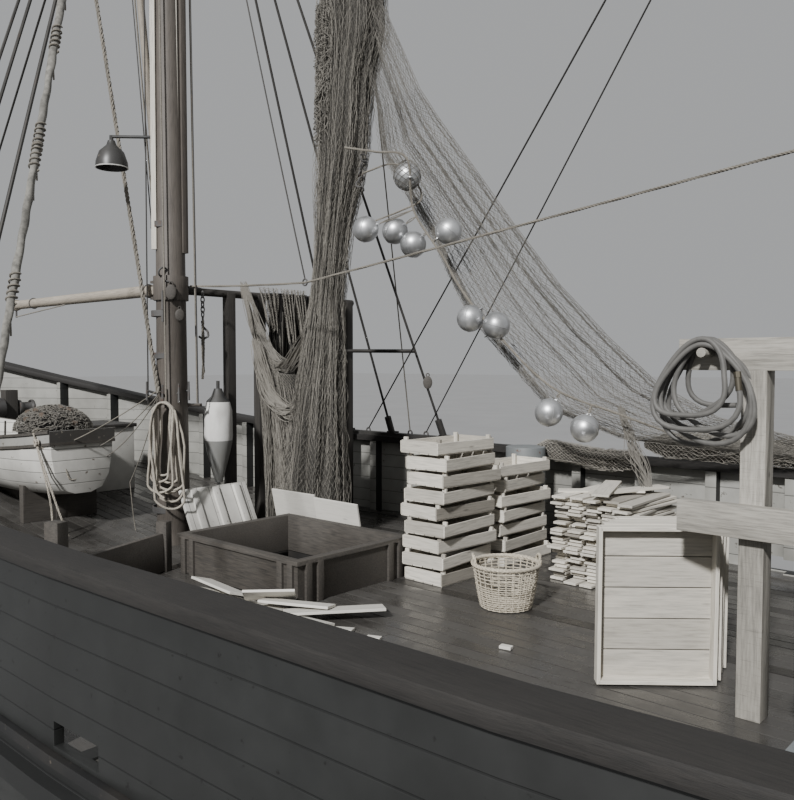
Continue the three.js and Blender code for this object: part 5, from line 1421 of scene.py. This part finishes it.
def lamp():
    """Rim, bulb and socket in the lamp's shade."""
    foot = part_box("deck_lamp")[0].z
    bm = bmesh.new()
    add_ring(bm, (*LAMP, foot + 0.004), 0.155, 0.006, steps=40)
    new_piece("lamp_rim", bm, "lamp_rim", "white_paint")
    bm = bmesh.new()
    bmesh.ops.create_uvsphere(bm, u_segments=20, v_segments=12, radius=0.045, matrix=placed(*LAMP, foot + 0.075))
    add_bar(bm, (*LAMP, foot + 0.10), (*LAMP, foot + 0.22), 0.022)
    new_piece("lamp_bulb", bm, "glass", "white_paint")


def loose_boards():
    """Broken boards beside the hatch, and a few that lean on its far side."""
    draw = random.Random(21)
    bm = bmesh.new()
    for x, y, length, width, turn, lift, roll in LOOSE_BOARDS:
        add_board(bm, (length, width, 0.020), placed(x, y, DECK_Z + 0.012 + lift, turn, 0.0, roll), draw,
                  draw.uniform(0.6, 1.0))
    new_piece("loose_boards", bm, "white_wood", "raw_wood", bevel=0.003)


def trays():
    """Slatted trays that stand on edge by the timber frame, the open side outward; their slats are toned dark as
    painted shade inside the open side, their rims light.
    """
    draw = random.Random(31)
    bm = bmesh.new()
    slats, wide, high, deep, rim = 5, 0.65, 0.90, 0.075, 0.022
    for k in range(4):
        base = placed(TRAY_PLACE[0] + 0.020 * k, TRAY_PLACE[1] - 0.102 * k, DECK_Z + high / 2 + 0.012,
                      TRAY_TURN + draw.uniform(-0.03, 0.03), 0.0, draw.uniform(-0.03, 0.02))
        for level in range(slats):
            # Painted shade: the slats inside each tray get a dark tone against the light rims
            add_board(bm, (wide, 0.012, high / slats - 0.006), base @ placed(
                0, -deep / 2, (level + 0.5) * high / slats - high / 2), draw, draw.uniform(0.10, 0.35))
        for side in (1, -1):
            add_board(bm, (high, deep, rim), base @ placed(side * wide / 2, 0, 0) @ QUARTER_Y, draw, 0.9)
            add_board(bm, (wide, deep, rim), base @ placed(0, 0, side * (high - rim) / 2), draw, 0.9)
    new_piece("standing_trays", bm, "raw_boards", "raw_wood", bevel=0.003)


class TRAWLER_OT_deck_gear(Build):
    """Drum, dan buoy, deck lamp, skiff chocks, standing trays and the loose boards on deck"""

    bl_idname = "trawler.deck_gear"
    bl_label = "Deck gear"

    def build(self, sizes):
        dress("grey_paint", 0.004, "drum")
        dress("buoy", 0.0, "dan_buoy")
        dress("lamp_paint", 0.0, "deck_lamp")
        dress("worn_across", 0.004, "skiff_chocks")
        lamp()
        loose_boards()
        trays()


# Skiff sections as in the model: x from the transom, half breadth, keel and gunwale over its foot
SKIFF_FOOT = Vector((4.10, 0.40, 1.33))
SKIFF_ROWS = [(0.0, 0.35, 0.06, 0.74), (0.35, 0.50, 0.02, 0.70), (0.70, 0.565, 0.0, 0.67), (1.5, 0.60, 0.0, 0.65),
              (2.2, 0.50, 0.02, 0.67), (2.75, 0.25, 0.09, 0.73), (3.0, 0.06, 0.22, 0.79)]
SKIFF_SECTION = [(0.0, 0.0), (0.07, 0.62), (0.28, 0.86), (0.62, 0.97), (1.0, 1.0)]


def skiff_side(x, up, out=0.0):
    """A point on the skiff's side at a share of its height; its side is the sign of out."""
    _, half, keel, top = column_at(SKIFF_ROWS, x)
    share = column_at(SKIFF_SECTION, up)[1]
    y = half * share + abs(out)
    return SKIFF_FOOT + Vector((x, math.copysign(y, out), keel + (top - keel) * up))


def skiff_strakes():
    stations = [3.0 * i / 30 for i in range(31)]
    sheer, sides, rails, ribs = bmesh.new(), bmesh.new(), bmesh.new(), bmesh.new()
    for side in (1, -1):
        for a, b in zip(stations, stations[1:]):
            for up, thick, high, bm in ((0.90, 0.014, 0.13, sides), (0.80, 0.026, 0.030, rails),
                                        (0.985, 0.034, 0.028, rails)):
                start, end = (skiff_side(x, up, side * thick * 0.4) for x in (a, b))
                add_plank(bm, start, end, thick, high)
        for x in stations[4:28:2]:
            points = [skiff_side(x, up, side * 0.001) - Vector((0, side * 0.038, 0)) for up in (0.68, 0.84, 0.97)]
            for start, end in zip(points, points[1:]):
                add_bar(ribs, start, end, 0.012, sides=6)
    for up, out, back, thick, high, bm in ((0.90, 0.014, 0.014, 0.014, 0.135, sheer),
                                           (0.80, 0.020, 0.016, 0.022, 0.028, rails)):
        left, right = (skiff_side(0.0, up, side * out) - Vector((back, 0, 0)) for side in (1, -1))
        add_plank(bm, left, right, thick, high)
    # The transom band is drawn dark as painted shade
    new_piece("skiff_transom_band", sheer, "sheer_paint", "white_paint")
    new_piece("skiff_sheer", sides, "sheer_grey", "white_paint")
    new_piece("skiff_rails", rails, "worn_long", "worn_wood")
    new_piece("skiff_ribs", ribs, "worn_tall", "worn_wood")


def skiff_lashings():
    """The ropes that hold the skiff down, with the knot on its side."""
    knot = skiff_side(0.12, 0.84, 0.045)
    falls = [[*raised(ends), knot] for ends in (
        [(3.98, 0.79, 0.06), (4.03, 0.80, 0.45)], [(3.80, 0.72, 0.06), (3.93, 0.79, 0.42)])]
    loop = [knot + Vector(step) for step in (
        (0, 0, 0), (-0.10, -0.22, -0.22), (-0.12, -0.30, -0.40), (-0.10, -0.40, -0.36), (-0.06, -0.36, -0.16),
        (0, 0, 0))]
    over = [knot, skiff_side(0.16, 1.0, 0.03), skiff_side(0.16, 1.04, 0.001), skiff_side(0.5, 1.06, 0.0)
            - Vector((0, 0.5, 0))]
    meshes = [rope_mesh(curve_points(line, 0.012), radius, strand) for lines, radius, strand in (
        (falls, 0.011, 0.0065), ((loop, over), 0.010, 0.006)) for line in lines]
    turns = [knot + Vector((0.035 * cos(1.7 * i), 0.012 * sin(0.9 * i), 0.035 * sin(1.7 * i))) for i in range(16)]
    meshes.append(tube_mesh([curve_points(turns, 0.02)], 0.010, 6))
    joined("skiff_lashings", meshes, "pale_rope", "rope_fibre")


def net_heap():
    """Heaped net in the skiff: a folded core, loose twine over it and a few corks."""
    low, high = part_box("skiff_net_heap")
    centre, half = (low + high) / 2, (high - low) / 2

    def on_heap(out, scale):
        return centre + Vector((out.x * half.x, out.y * half.y, max(out.z, -0.9) * half.z)) * scale

    bm = bmesh.new()
    bmesh.ops.create_icosphere(bm, subdivisions=5, radius=1.0)
    for v in bm.verts:
        out = v.co.copy()
        v.co = on_heap(out, 0.90 + 0.12 * noise.noise(out * 3.1) + 0.10 * noise.noise(out * 9.0))
        v.co.z = max(v.co.z, low.z)
    new_piece("net_heap_core", bm, "dark_netting", "netting", replaces=["skiff_net_heap"], smooth=180)
    draw = random.Random(77)
    lines = []
    for _ in range(420):
        turn, rise = draw.uniform(0, tau), draw.uniform(0.0, 1.2)
        start, step = heading(turn, rise), tossed(draw, 1, 1, 0.5) * 0.07
        line = []
        for i in range(12):
            start = (start + step + tossed(draw, 1, 1, 1) * 0.07).normalized()
            start.z = max(start.z, 0.02)
            line.append(on_heap(start, 0.98 + 0.10 * abs(sin(1.3 * i + turn))))
        lines.append(curve_points(line, 0.05))
    twine_piece("net_heap_twine", lines, 0.0042, "heap_netting")
    corks = bmesh.new()
    for _ in range(14):
        turn, rise = draw.uniform(0, tau), draw.uniform(0.2, 1.3)
        place, along = on_heap(heading(turn, rise), 1.0), tossed(draw, 1, 1, 0.4).normalized()
        add_bar(corks, place - along * 0.03, place + along * 0.03, 0.030, sides=10)
    new_piece("net_heap_corks", corks, "cork", "netting", bevel=0.004)


class TRAWLER_OT_skiff(Build):
    """Skiff with its sheer (dark across the transom as painted shade), gunwale, ribs and lashings, and the heap of
    net and corks in it
    """

    bl_idname = "trawler.skiff"
    bl_label = "Skiff"

    def build(self, sizes):
        dress("skiff_paint", 0.003, "skiff")
        skiff_strakes()
        skiff_lashings()
        net_heap()


# Rows of the hung column: height above the deck, centre x, centre y, radius along x, radius along y
COLUMN_TOP = 7.15
COLUMN_ROWS = [
    (0.0, 2.14, -1.14, 0.385, 0.35), (0.62, 2.13, -1.14, 0.36, 0.325), (1.44, 2.06, -1.15, 0.28, 0.26),
    (2.45, 1.97, -1.17, 0.175, 0.165), (3.2, 1.905, -1.215, 0.195, 0.185), (3.9, 1.835, -1.265, 0.27, 0.255),
    (4.7, 1.80, -1.295, 0.285, 0.27), (5.15, 1.765, -1.335, 0.355, 0.33), (5.7, 1.745, -1.33, 0.35, 0.325),
    (6.2, 1.74, -1.33, 0.23, 0.21), (6.8, 1.74, -1.33, 0.095, 0.09), (7.2, 1.74, -1.33, 0.035, 0.035),
]
# Wing in its upright plane: distance along the plane and height, for the outer and the inner edge
WING_FROM, WING_TO = Vector((1.74, -1.33)), Vector((-2.60, -2.76))
WING_OUTER = [(0.05, 5.9), (0.40, 5.25), (0.73, 4.50), (0.94, 4.19), (1.36, 3.60), (1.73, 3.08), (2.13, 2.54),
              (2.57, 2.06), (3.01, 1.64), (3.5, 1.36), (4.48, 1.12)]
WING_INNER = [(0.02, 5.2), (0.20, 4.75), (0.28, 4.35), (0.33, 3.90), (0.58, 3.50), (0.84, 3.08), (1.05, 2.66),
              (1.26, 2.26), (2.02, 1.40), (2.7, 1.14), (4.38, 1.0)]
# Gathered end that hangs from the wing to the boards on deck
WING_TAIL = [(-0.80, -2.167, 1.42), (-0.93, -2.10, 1.12), (-1.15, -1.98, 0.80), (-1.25, -1.90, 0.55)]
# Tails of the light net over the rack: y, width and length
TAILS = [(-1.15, 0.26, 0.50), (-1.42, 0.20, 0.62), (-1.60, 0.18, 0.58), (-1.95, 0.20, 0.70), (-2.15, 0.20, 0.60)]
# Swags of gathered net from the rack to the column
SWAGS = [
    [(2.93, -0.84, 2.66), (2.737, -0.937, 2.066), (2.492, -1.022, 1.777), (2.206, -1.078, 2.06), (2.08, -1.12, 2.3)],
    [(2.705, -0.831, 2.05), (2.516, -0.866, 1.484), (2.261, -0.962, 1.312), (2.04, -1.026, 1.594),
     (2.0, -1.08, 1.9)],
]


def along_rows(rows, share):
    """A point at a share of the way along a line of points, by their number."""
    place = share * (len(rows) - 1)
    k = min(int(place), len(rows) - 2)
    return Vector(rows[k]).lerp(Vector(rows[k + 1]), place - k)


def bundle(controls, count, radius, draw, twist=2.0, spread=0.35):
    """Gathered twine: lines that wander round a smooth curve."""
    path = curve_points(controls, 0.035)
    lines = []
    for _ in range(count):
        turn, out, phase = draw.uniform(0, tau), radius * math.sqrt(draw.random()), draw.uniform(0, 6)
        line = []
        for i, point in enumerate(path):
            share = i / (len(path) - 1)
            reach = out * (1 + spread * sin(phase + 9 * share)) * (0.55 + 0.45 * sin(pi * share))
            a = turn + twist * share
            line.append(point + Vector((0.75 * cos(a), 0.66 * cos(a), sin(a))) * reach)
        lines.append(line)
    return lines


def column_point(u, v, scale, seed):
    height, turn = COLUMN_TOP * v, tau * u
    _, x, y, rx, ry = column_at(COLUMN_ROWS, height)
    fold = (0.80 + 0.16 * abs(sin(4.5 * turn + 0.5 * height + seed)) + 0.05 * sin(12 * turn - 1.3 * height + seed)
            + 0.20 * noise.noise(around(2.6, turn, 1.1 * height + seed)))
    return Vector((x + rx * fold * scale * cos(turn), y + ry * fold * scale * sin(turn), above(max(height, 0.01))))


def net_column(sizes):
    skin_piece("net_column_core", lambda u, v: column_point(u, v, 0.92, 0.0), 120, 110, "net_bundle",
               replaces=["net_column"], smooth=180)
    for layer, (scale, seed, columns, rows) in enumerate(((1.0, 0.0, 96, 170), (1.07, 1.9, 80, 110))):
        strands = net_strands(lambda u, v: column_point(u, v, scale, seed), columns, rows)
        twine_piece(f"net_column_mesh_{layer + 1}", strands, sizes.twine, "hung_netting")
    draw = random.Random(51)
    falls = streaks(lambda u, v: column_point(u, v, draw.uniform(0.97, 1.12), 0.0), 400, draw, 16,
                    (0.06, 0.30), 0.004)
    twine_piece("net_column_falls", falls, 0.0020, "hung_netting")
    tufts = streaks(lambda u, v: column_point(0.28 * u - 0.02, 0.56 + 0.20 * v,
                                                   draw.uniform(0.95, 1.16), 0.0), 300, draw, 12,
                    (0.10, 0.35), 0.05)
    twine_piece("net_column_tufts", tufts, 0.0045, "heap_netting")


def net_curtain():
    """The net behind the rack, dark partly as painted shade, and the tails of the light net over its beam."""
    low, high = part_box("net_curtain")
    beam = above(2.60)

    def fall(u, v):
        y = high.y - 0.02 + u * (low.y - high.y + 0.04)
        wave = 0.035 * sin(38 * u + 2.0 * v) + 0.03 * noise.noise(Vector((6 * u, 2.5 * v, 3.0)))
        return Vector((MAST.x - 0.125 + wave, y, beam - v * (beam - above(0.14)) * (0.96 + 0.04 * sin(9 * u))))

    # The curtain is a dark sheet, partly painted shade where the net behind the rack lies in shadow
    sheet_piece("net_curtain_shaded", fall, 80, 40, "dark_netting", 0.012, replaces=["net_curtain"])
    draw = random.Random(61)
    twine_piece("net_curtain_falls", streaks(lambda u, v: fall(u, v) - Vector((0.018, 0, 0)), 150, draw, 16,
                                             (0.2, 0.7), 0.004), 0.004, "heap_netting")
    strips = []
    for k, (y, width, length) in enumerate(TAILS):
        def hang(u, v):
            side = y + (u - 0.5) * width * (1 - 0.45 * v) - 0.06 * v
            return Vector((MAST.x - 0.165 - 0.02 * sin(25 * u + 5 * v + k), side,
                           beam + 0.05 - v * length * (0.9 + 0.1 * sin(17 * u + k))))

        strips += net_strands(hang, 18, 36)
        strips += streaks(hang, 40, draw, 10, (0.4, 1.0), 0.02)
    twine_piece("net_tails", strips, 0.0028, "hung_netting")


def net_drape(sizes):
    """The light net that swags from the rack's head to the column and fans out to the deck."""
    top = [(2.95, -0.87, 2.66), (2.78, -0.93, 2.1), (2.52, -1.0, 1.72), (2.28, -1.06, 1.70), (2.08, -1.12, 2.06)]
    foot = [(2.66, -0.93, 0.03), (2.55, -1.02, 0.03), (2.42, -1.12, 0.03), (2.25, -1.22, 0.03), (2.06, -1.32, 0.03)]

    def surface(u, v, lift=0.0, seed=0.0):
        a, b = along_rows(top, u), along_rows(foot, u)
        ease = 1 - (1 - v) ** 2.4
        fold = (0.06 * abs(sin(13 * u + 1.1 * v + seed)) * (0.25 + 0.75 * v)
                + 0.05 * noise.noise(Vector((7 * u, 3 * v, 5.0 + seed))))
        flat = a.lerp(b, ease) + TOWARD_EYE * (fold + lift)
        return Vector((flat.x, flat.y, above(a.z + (b.z - a.z) * v)))

    sheet_piece("net_drape_core", surface, 90, 50, "net_bundle", 0.01)
    strands = net_strands(lambda u, v: surface(u, v, 0.03, 0.4), 52, 90)
    draw = random.Random(71)
    strands += streaks(lambda u, v: surface(u, v, draw.uniform(0.02, 0.07)), 260, draw, 14, (0.25, 0.8), 0.006)
    twine_piece("net_drape_mesh", strands, sizes.twine * 1.2, "hung_netting")
    gathers = [line for controls in SWAGS for line in bundle(raised(controls), 52, 0.085, draw)]
    twine_piece("net_swags", gathers, 0.0036, "hung_netting")


def wing_point(u, v, depth=0.0, seed=0.0):
    outer, inner = along_rows(WING_OUTER, u), along_rows(WING_INNER, u)
    place = outer.lerp(inner, v)
    along = (WING_TO - WING_FROM).normalized()
    out = Vector((-along.y, along.x))
    fold = 0.05 * abs(sin(9 * v + 2 * u + seed)) * sin(pi * min(1.0, 1.4 * u))
    sway = (0.10 * sin(3.1 * u + 5 * v + seed) * sin(pi * v) + fold
            + 0.05 * noise.noise(Vector((7 * u, 5 * v, seed))) + depth)
    flat = WING_FROM + along * place.x - out * sway
    return Vector((flat.x, flat.y, above(place.y)))


def net_wing(sizes):
    strands = net_strands(wing_point, 230, 48)
    strands += net_strands(lambda u, v: wing_point(u, v, 0.06, 2.0), 130, 36)
    twine_piece("net_wing_mesh", strands, sizes.twine * 0.95, "veil_netting", replaces=["net_wing"])
    draw = random.Random(41)
    folds = [draw.random() for _ in range(24)]

    def gather(v, u):
        near = min(folds, key=lambda fold: abs(fold - v))
        return wing_point(u, v + 0.55 * (near - v), draw.uniform(-0.02, 0.05))

    gathered = streaks(gather, 330, draw, 26, (0.12, 0.50), 0.008)
    gathered += streaks(lambda v, u: wing_point(u, 0.90 + 0.10 * v, 0.02), 46, draw, 26, (0.3, 0.8), 0.05)
    gathered += [[wing_point(i / 60, 0.004 * k) for i in range(61)] for k in range(2)]
    twine_piece("net_wing_gather", gathered, 0.0014, "veil_netting")
    tail = bundle(raised(WING_TAIL), 34, 0.060, draw, twist=4.0, spread=0.6)
    twine_piece("net_wing_tail", tail, 0.0030, "veil_netting")


def net_rolls(sizes):
    """The rest of the wing, rolled up along the starboard rail, and a smaller roll inside it."""
    xs = [-0.72, -1.1, -1.5, -1.9, -2.25, -2.6, -3.0, -3.5]
    outer = [Vector((x, -rail_at(x)[0] + RAIL_OVERHANG + 0.085, rail_at(x)[1] + 0.125)) for x in xs]
    inner = [Vector((x, -rail_at(x)[0] + 0.30 + 0.03 * sin(5 * x), above(0.92 + 0.04 * sin(4 * x))))
             for x in (0.35, 0.05, -0.25, -0.55, -0.80)]
    draw = random.Random(81)
    for name, controls, size in (("net_roll", outer, 0.118), ("net_roll_small", inner, 0.095)):
        line = curve_points(controls, 0.04)

        def skin(u, v, scale=1.0):
            place = v * (len(line) - 1)
            k = min(int(place), len(line) - 2)
            turn = tau * u
            end = min(1.0, 8 * v + 0.3, 8 * (1 - v) + 0.3)
            radius = size * scale * end * (1 + 0.30 * noise.noise(around(2, turn, 0.13 * len(line) * v)))
            return line[k].lerp(line[k + 1], place - k) + Vector(
                (0, radius * cos(turn), max(-0.12, radius * sin(turn))))

        skin_piece(f"{name}_core", lambda u, v: skin(u, v, 0.88), 32, len(line), "net_bundle_long", smooth=180)
        strands = net_strands(skin, 34, round(1.6 * len(line)))
        strands += streaks(lambda u, v: skin(u, v, draw.uniform(1.0, 1.2)), 2 * len(line), draw, 14,
                           (0.08, 0.30), 0.02)
        twine_piece(f"{name}_mesh", strands, sizes.twine * 1.5, "netting")


class TRAWLER_OT_nets(Build):
    """Hung nets as real meshes: the gathered column, the curtain, the wing and the roll on the rail"""

    bl_idname = "trawler.nets"
    bl_label = "Nets"

    def build(self, sizes):
        net_column(sizes)
        net_curtain()
        net_drape(sizes)
        net_wing(sizes)
        net_rolls(sizes)


# Floats: x, y and height above the deck; the headline that carries them
FLOAT_RADIUS = 0.125
FLOATS = [
    (1.246, -1.001, 3.094), (1.039, -1.187, 3.075), (0.846, -1.227, 2.936), (0.537, -1.370, 3.043),
    (0.888, -1.189, 3.570), (0.264, -1.346, 2.230), (0.030, -1.420, 2.160), (-0.429, -1.567, 1.394),
    (-0.712, -1.688, 1.262),
]
BAGGED_FLOAT = 4
HEADLINE = [
    (1.466, -0.937, 3.886), (1.12, -1.00, 3.80), (0.80, -1.08, 3.70), (0.81, -1.19, 3.25),
    (0.56, -1.30, 2.82), (0.31, -1.33, 2.44), (-0.05, -1.45, 2.00), (-0.45, -1.62, 1.60),
    (-0.90, -1.95, 1.38), (-1.25, -2.289, 1.20),
]
HEADLINE_LOOP = [
    (1.337, -1.053, 3.643), (1.0535, -1.174, 3.707), (0.8857, -1.258, 3.581), (0.822, -1.3154, 3.3715),
    (0.9705, -1.1817, 3.257), (1.2026, -1.0398, 3.161),
]


def float_bag():
    """The net bag round one float."""
    x, y, h = FLOATS[BAGGED_FLOAT]

    def skin(u, v):
        turn, rise = tau * u, pi * (v - 0.5)
        out = FLOAT_RADIUS + 0.006 + 0.02 * max(0.0, sin(rise)) ** 6
        return Vector((x + out * cos(turn) * cos(rise), y + out * sin(turn) * cos(rise), above(h) + out * sin(rise)))

    lines_piece("float_bag", net_strands(skin, 20, 14), 0.003, "heap_netting", "netting", sides=4)


def shackles(place, draw):
    """Shackles and rings where the headline meets the column."""
    bm = bmesh.new()
    for k in range(9):
        centre = (place.x + draw.uniform(-0.03, 0.03), place.y + draw.uniform(-0.03, 0.03),
                  above(place.z - 0.14 + 0.035 * k))
        add_ring(bm, centre, draw.uniform(0.022, 0.036), 0.008,
                 Matrix.Rotation(draw.uniform(0, 3), 4, "Z") @ Matrix.Rotation(draw.uniform(1.0, 2.1), 4, "X"),
                 steps=18)
    new_piece("headline_shackles", bm, "rusty", "worn_steel")


class TRAWLER_OT_floats(Build):
    """Spun metal floats with their seams and lugs, slung from the headline"""

    bl_idname = "trawler.floats"
    bl_label = "Floats"

    def build(self, sizes):
        headline = curve_points(raised(HEADLINE), 0.012)
        draw = random.Random(13)
        bm = bmesh.new()
        slings = []
        for centre in (Vector(place) for place in raised(FLOATS)):
            near = min(headline, key=lambda p: (p - centre).length)
            up = (near - centre).normalized()
            tilt = up.to_track_quat("Z", "Y").to_matrix().to_4x4()
            lean = Matrix.Rotation(draw.uniform(0.2, 1.3), 4, "X") @ Matrix.Rotation(draw.uniform(0, 6), 4, "Z")
            bmesh.ops.create_uvsphere(bm, u_segments=36, v_segments=20, radius=FLOAT_RADIUS * 0.985,
                                      matrix=Matrix.Translation(centre) @ tilt)
            add_ring(bm, centre, FLOAT_RADIUS * 0.985, 0.004, tilt @ lean, steps=48, sides=6)
            top = centre + up * FLOAT_RADIUS
            add_ring(bm, top, 0.020, 0.006, tilt @ QUARTER_X, steps=16)
            add_bar(bm, centre + up * FLOAT_RADIUS * 0.9, top, 0.018)
            for k in range(3):
                side = tilt @ around(0.012, 2.1 * k)
                slings.append(curve_points([top + up * 0.01, top.lerp(near, 0.5) + side, near], 0.03))
        new_piece("float_balls", bm, "float_metal", "float_metal", replaces=["headline_floats"])
        loop = curve_points(raised(HEADLINE_LOOP), 0.012)
        meshes = [rope_mesh(headline, 0.011, 0.0065), rope_mesh(loop, 0.009, 0.0055), tube_mesh(slings, 0.0045, 6)]
        joined("headline_rope", meshes, "rope", "rope_fibre")
        float_bag()
        shackles(Vector(HEADLINE_LOOP[0]), draw)


# House: sill and head of the windows, aft and fore end of its walls, height of its grab rails, and the funnel
SILL, HEAD, HOUSE_ENDS, RAIL_HEIGHT, FUNNEL = 2.85, 3.48, (-6.60, -4.40), 2.62, (-7.25, 0.70)


def windows(trim, draw):
    """Frames, casings and panes of the wheelhouse's windows."""
    tall, level = HEAD - SILL, (SILL + HEAD) / 2
    frames, panes = bmesh.new(), bmesh.new()
    openings = [(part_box("wheelhouse_front")[1].x - 0.025, y, 0.52, 0.0, 1) for y in (-0.68, 0.0, 0.68)]
    openings.append((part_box("wheelhouse_aft")[0].x + 0.025, 0.60, 0.50, 0.0, -1))
    openings += [(x, side * 1.025, 0.60, pi / 2, side) for x in (-5.98, -5.02) for side in (1, -1)]
    kinds = ((frames, 0.017, 0.035, 0.0, 0.062), (trim, -0.026, 0.05, 0.032, 0.014))
    for x, y, width, turn, out in openings:
        base = placed(x, y, level, turn)
        for side in (1, -1):
            for bm, inset, wide, proud, deep in kinds:
                add_board(bm, (tall + wide, wide, deep), base @ placed(
                    out * proud, side * (width / 2 - inset), 0) @ QUARTER_Y, draw)
                add_board(bm, (width, deep, wide), base @ placed(
                    out * proud, 0, side * (tall / 2 - inset)) @ QUARTER_Z, draw)
        bmesh.ops.create_cube(panes, size=1.0, matrix=base @ Matrix.Diagonal((0.006, width - 0.06, tall - 0.06, 1)))
    new_piece("window_frames", frames, "worn_boards", "rail_wood", bevel=0.003)
    new_piece("window_glass", panes, "glass", "white_paint")


def corner_boards(trim, draw):
    """Boards up the wheelhouse's corners."""
    for x in HOUSE_ENDS:
        out = math.copysign(1.0, x - sum(HOUSE_ENDS) / 2)
        for side in (1, -1):
            for turn, where in ((0.0, (x + out * 0.007, side * 1.015)),
                                (pi / 2, (x - out * 0.035, side * 1.057))):
                add_board(trim, (2.11, 0.07, 0.014), placed(*where, 2.775, turn) @ QUARTER_Y, draw)
    new_piece("wheelhouse_trim", trim, "white_wood", "white_paint", bevel=0.002)


def grab_rails():
    """Grab rails along the wheelhouse's sides, and the funnel's rings."""
    bm = bmesh.new()
    for side in (1, -1):
        add_bar(bm, (-6.35, side * 1.11, RAIL_HEIGHT), (-4.65, side * 1.11, RAIL_HEIGHT), 0.014)
        for x in (-6.30, -5.50, -4.70):
            add_bar(bm, (x, side * 1.045, RAIL_HEIGHT), (x, side * 1.11, RAIL_HEIGHT), 0.009, sides=8)
    for z, size in ((1.715, 0.016), (2.45, 0.007), (3.20, 0.011)):
        add_ring(bm, (*FUNNEL, z), 0.153, size)
    new_piece("grab_rails", bm, "steel", "worn_steel")


class TRAWLER_OT_house(Build):
    """Casing, wheelhouse, funnel and companion with their frames, glass and rails"""

    bl_idname = "trawler.house"
    bl_label = "House"

    def build(self, sizes):
        dress("grey_paint", 0.006, "deckhouse")
        dress("white_boards", 0.004, "wheelhouse_front", "wheelhouse_aft")
        dress("white_sides", 0.004, "wheelhouse_port", "wheelhouse_starboard")
        dress("white_sides", 0.006, "wheelhouse_roof")
        dress("white_sides", 0.005, "companion")
        dress("door_wood", 0.004, "wheelhouse_door")
        dress("door_wood", 0.003, "steering_wheel")
        dress("door_wood", 0.006, "companion_lid")
        dress("hull_paint", 0.004, "funnel")
        draw = random.Random(2)
        trim = bmesh.new()
        windows(trim, draw)
        corner_boards(trim, draw)
        grab_rails()


def winch_wire():
    """Wire in even turns on the winch's two drums."""
    centre = middle("winch_drums")
    turns, radius, steps = 33, 0.224, 24
    lines = [[Vector((centre.x + radius * cos(tau * i / steps), side * (0.11 + 0.64 * i / (steps * turns)),
        centre.z + radius * sin(tau * i / steps))) for i in range(steps * turns + 1)] for side in (1, -1)]
    lines_piece("winch_wire", lines, 0.0095, "wire", "wire_rope", body="winch_drums")


class TRAWLER_OT_machinery(Build):
    """Winch with its wire, windlass, gallows and otter boards"""

    bl_idname = "trawler.machinery"
    bl_label = "Machinery"

    def build(self, sizes):
        dress("grey_paint", 0.005, "winch_bed")
        dress("steel", 0.004, "winch_drums")
        dress("steel", 0.005, "windlass_barrel")
        dress("worn_tall", 0.008, "windlass_bitts")
        dress("rusty", 0.0, "gallows_port", "gallows_starboard")
        dress("worn_long", 0.006, "otter_board_port", "otter_board_starboard")
        winch_wire()


class TRAWLER_PT_panel(bpy.types.Panel):
    """Lists the pieces of the dressing"""

    bl_idname = "TRAWLER_PT_panel"
    bl_label = "Fishing trawler"
    bl_space_type = "VIEW_3D"
    bl_region_type = "UI"
    bl_category = "Trawler"

    def draw(self, context):
        for operator in OPERATORS:
            self.layout.operator(operator.bl_idname)
        for group in (context.scene.trawler_sizes, context.scene.trawler_colours):
            for name in group.__annotations__:
                self.layout.prop(group, name)


OPERATORS = (TRAWLER_OT_finishes, TRAWLER_OT_stage, TRAWLER_OT_hose, TRAWLER_OT_hank, TRAWLER_OT_hull,
    TRAWLER_OT_deck, TRAWLER_OT_spars, TRAWLER_OT_rigging, TRAWLER_OT_hatch, TRAWLER_OT_fish_boxes,
    TRAWLER_OT_basket, TRAWLER_OT_deck_gear, TRAWLER_OT_skiff, TRAWLER_OT_nets, TRAWLER_OT_floats,
    TRAWLER_OT_house, TRAWLER_OT_machinery,
)
CLASSES = (TrawlerColours, TrawlerSizes, *OPERATORS, TRAWLER_PT_panel)


def register():
    for item in CLASSES:
        bpy.utils.register_class(item)
    bpy.types.Scene.trawler_colours = bpy.props.PointerProperty(type=TrawlerColours)
    bpy.types.Scene.trawler_sizes = bpy.props.PointerProperty(type=TrawlerSizes)


def unregister():
    del bpy.types.Scene.trawler_colours
    del bpy.types.Scene.trawler_sizes
    for item in reversed(CLASSES):
        bpy.utils.unregister_class(item)


def main():
    register()
    for operator in OPERATORS:
        group, name = operator.bl_idname.split(".")
        getattr(getattr(bpy.ops, group), name)()


if __name__ == "__main__":
    main()
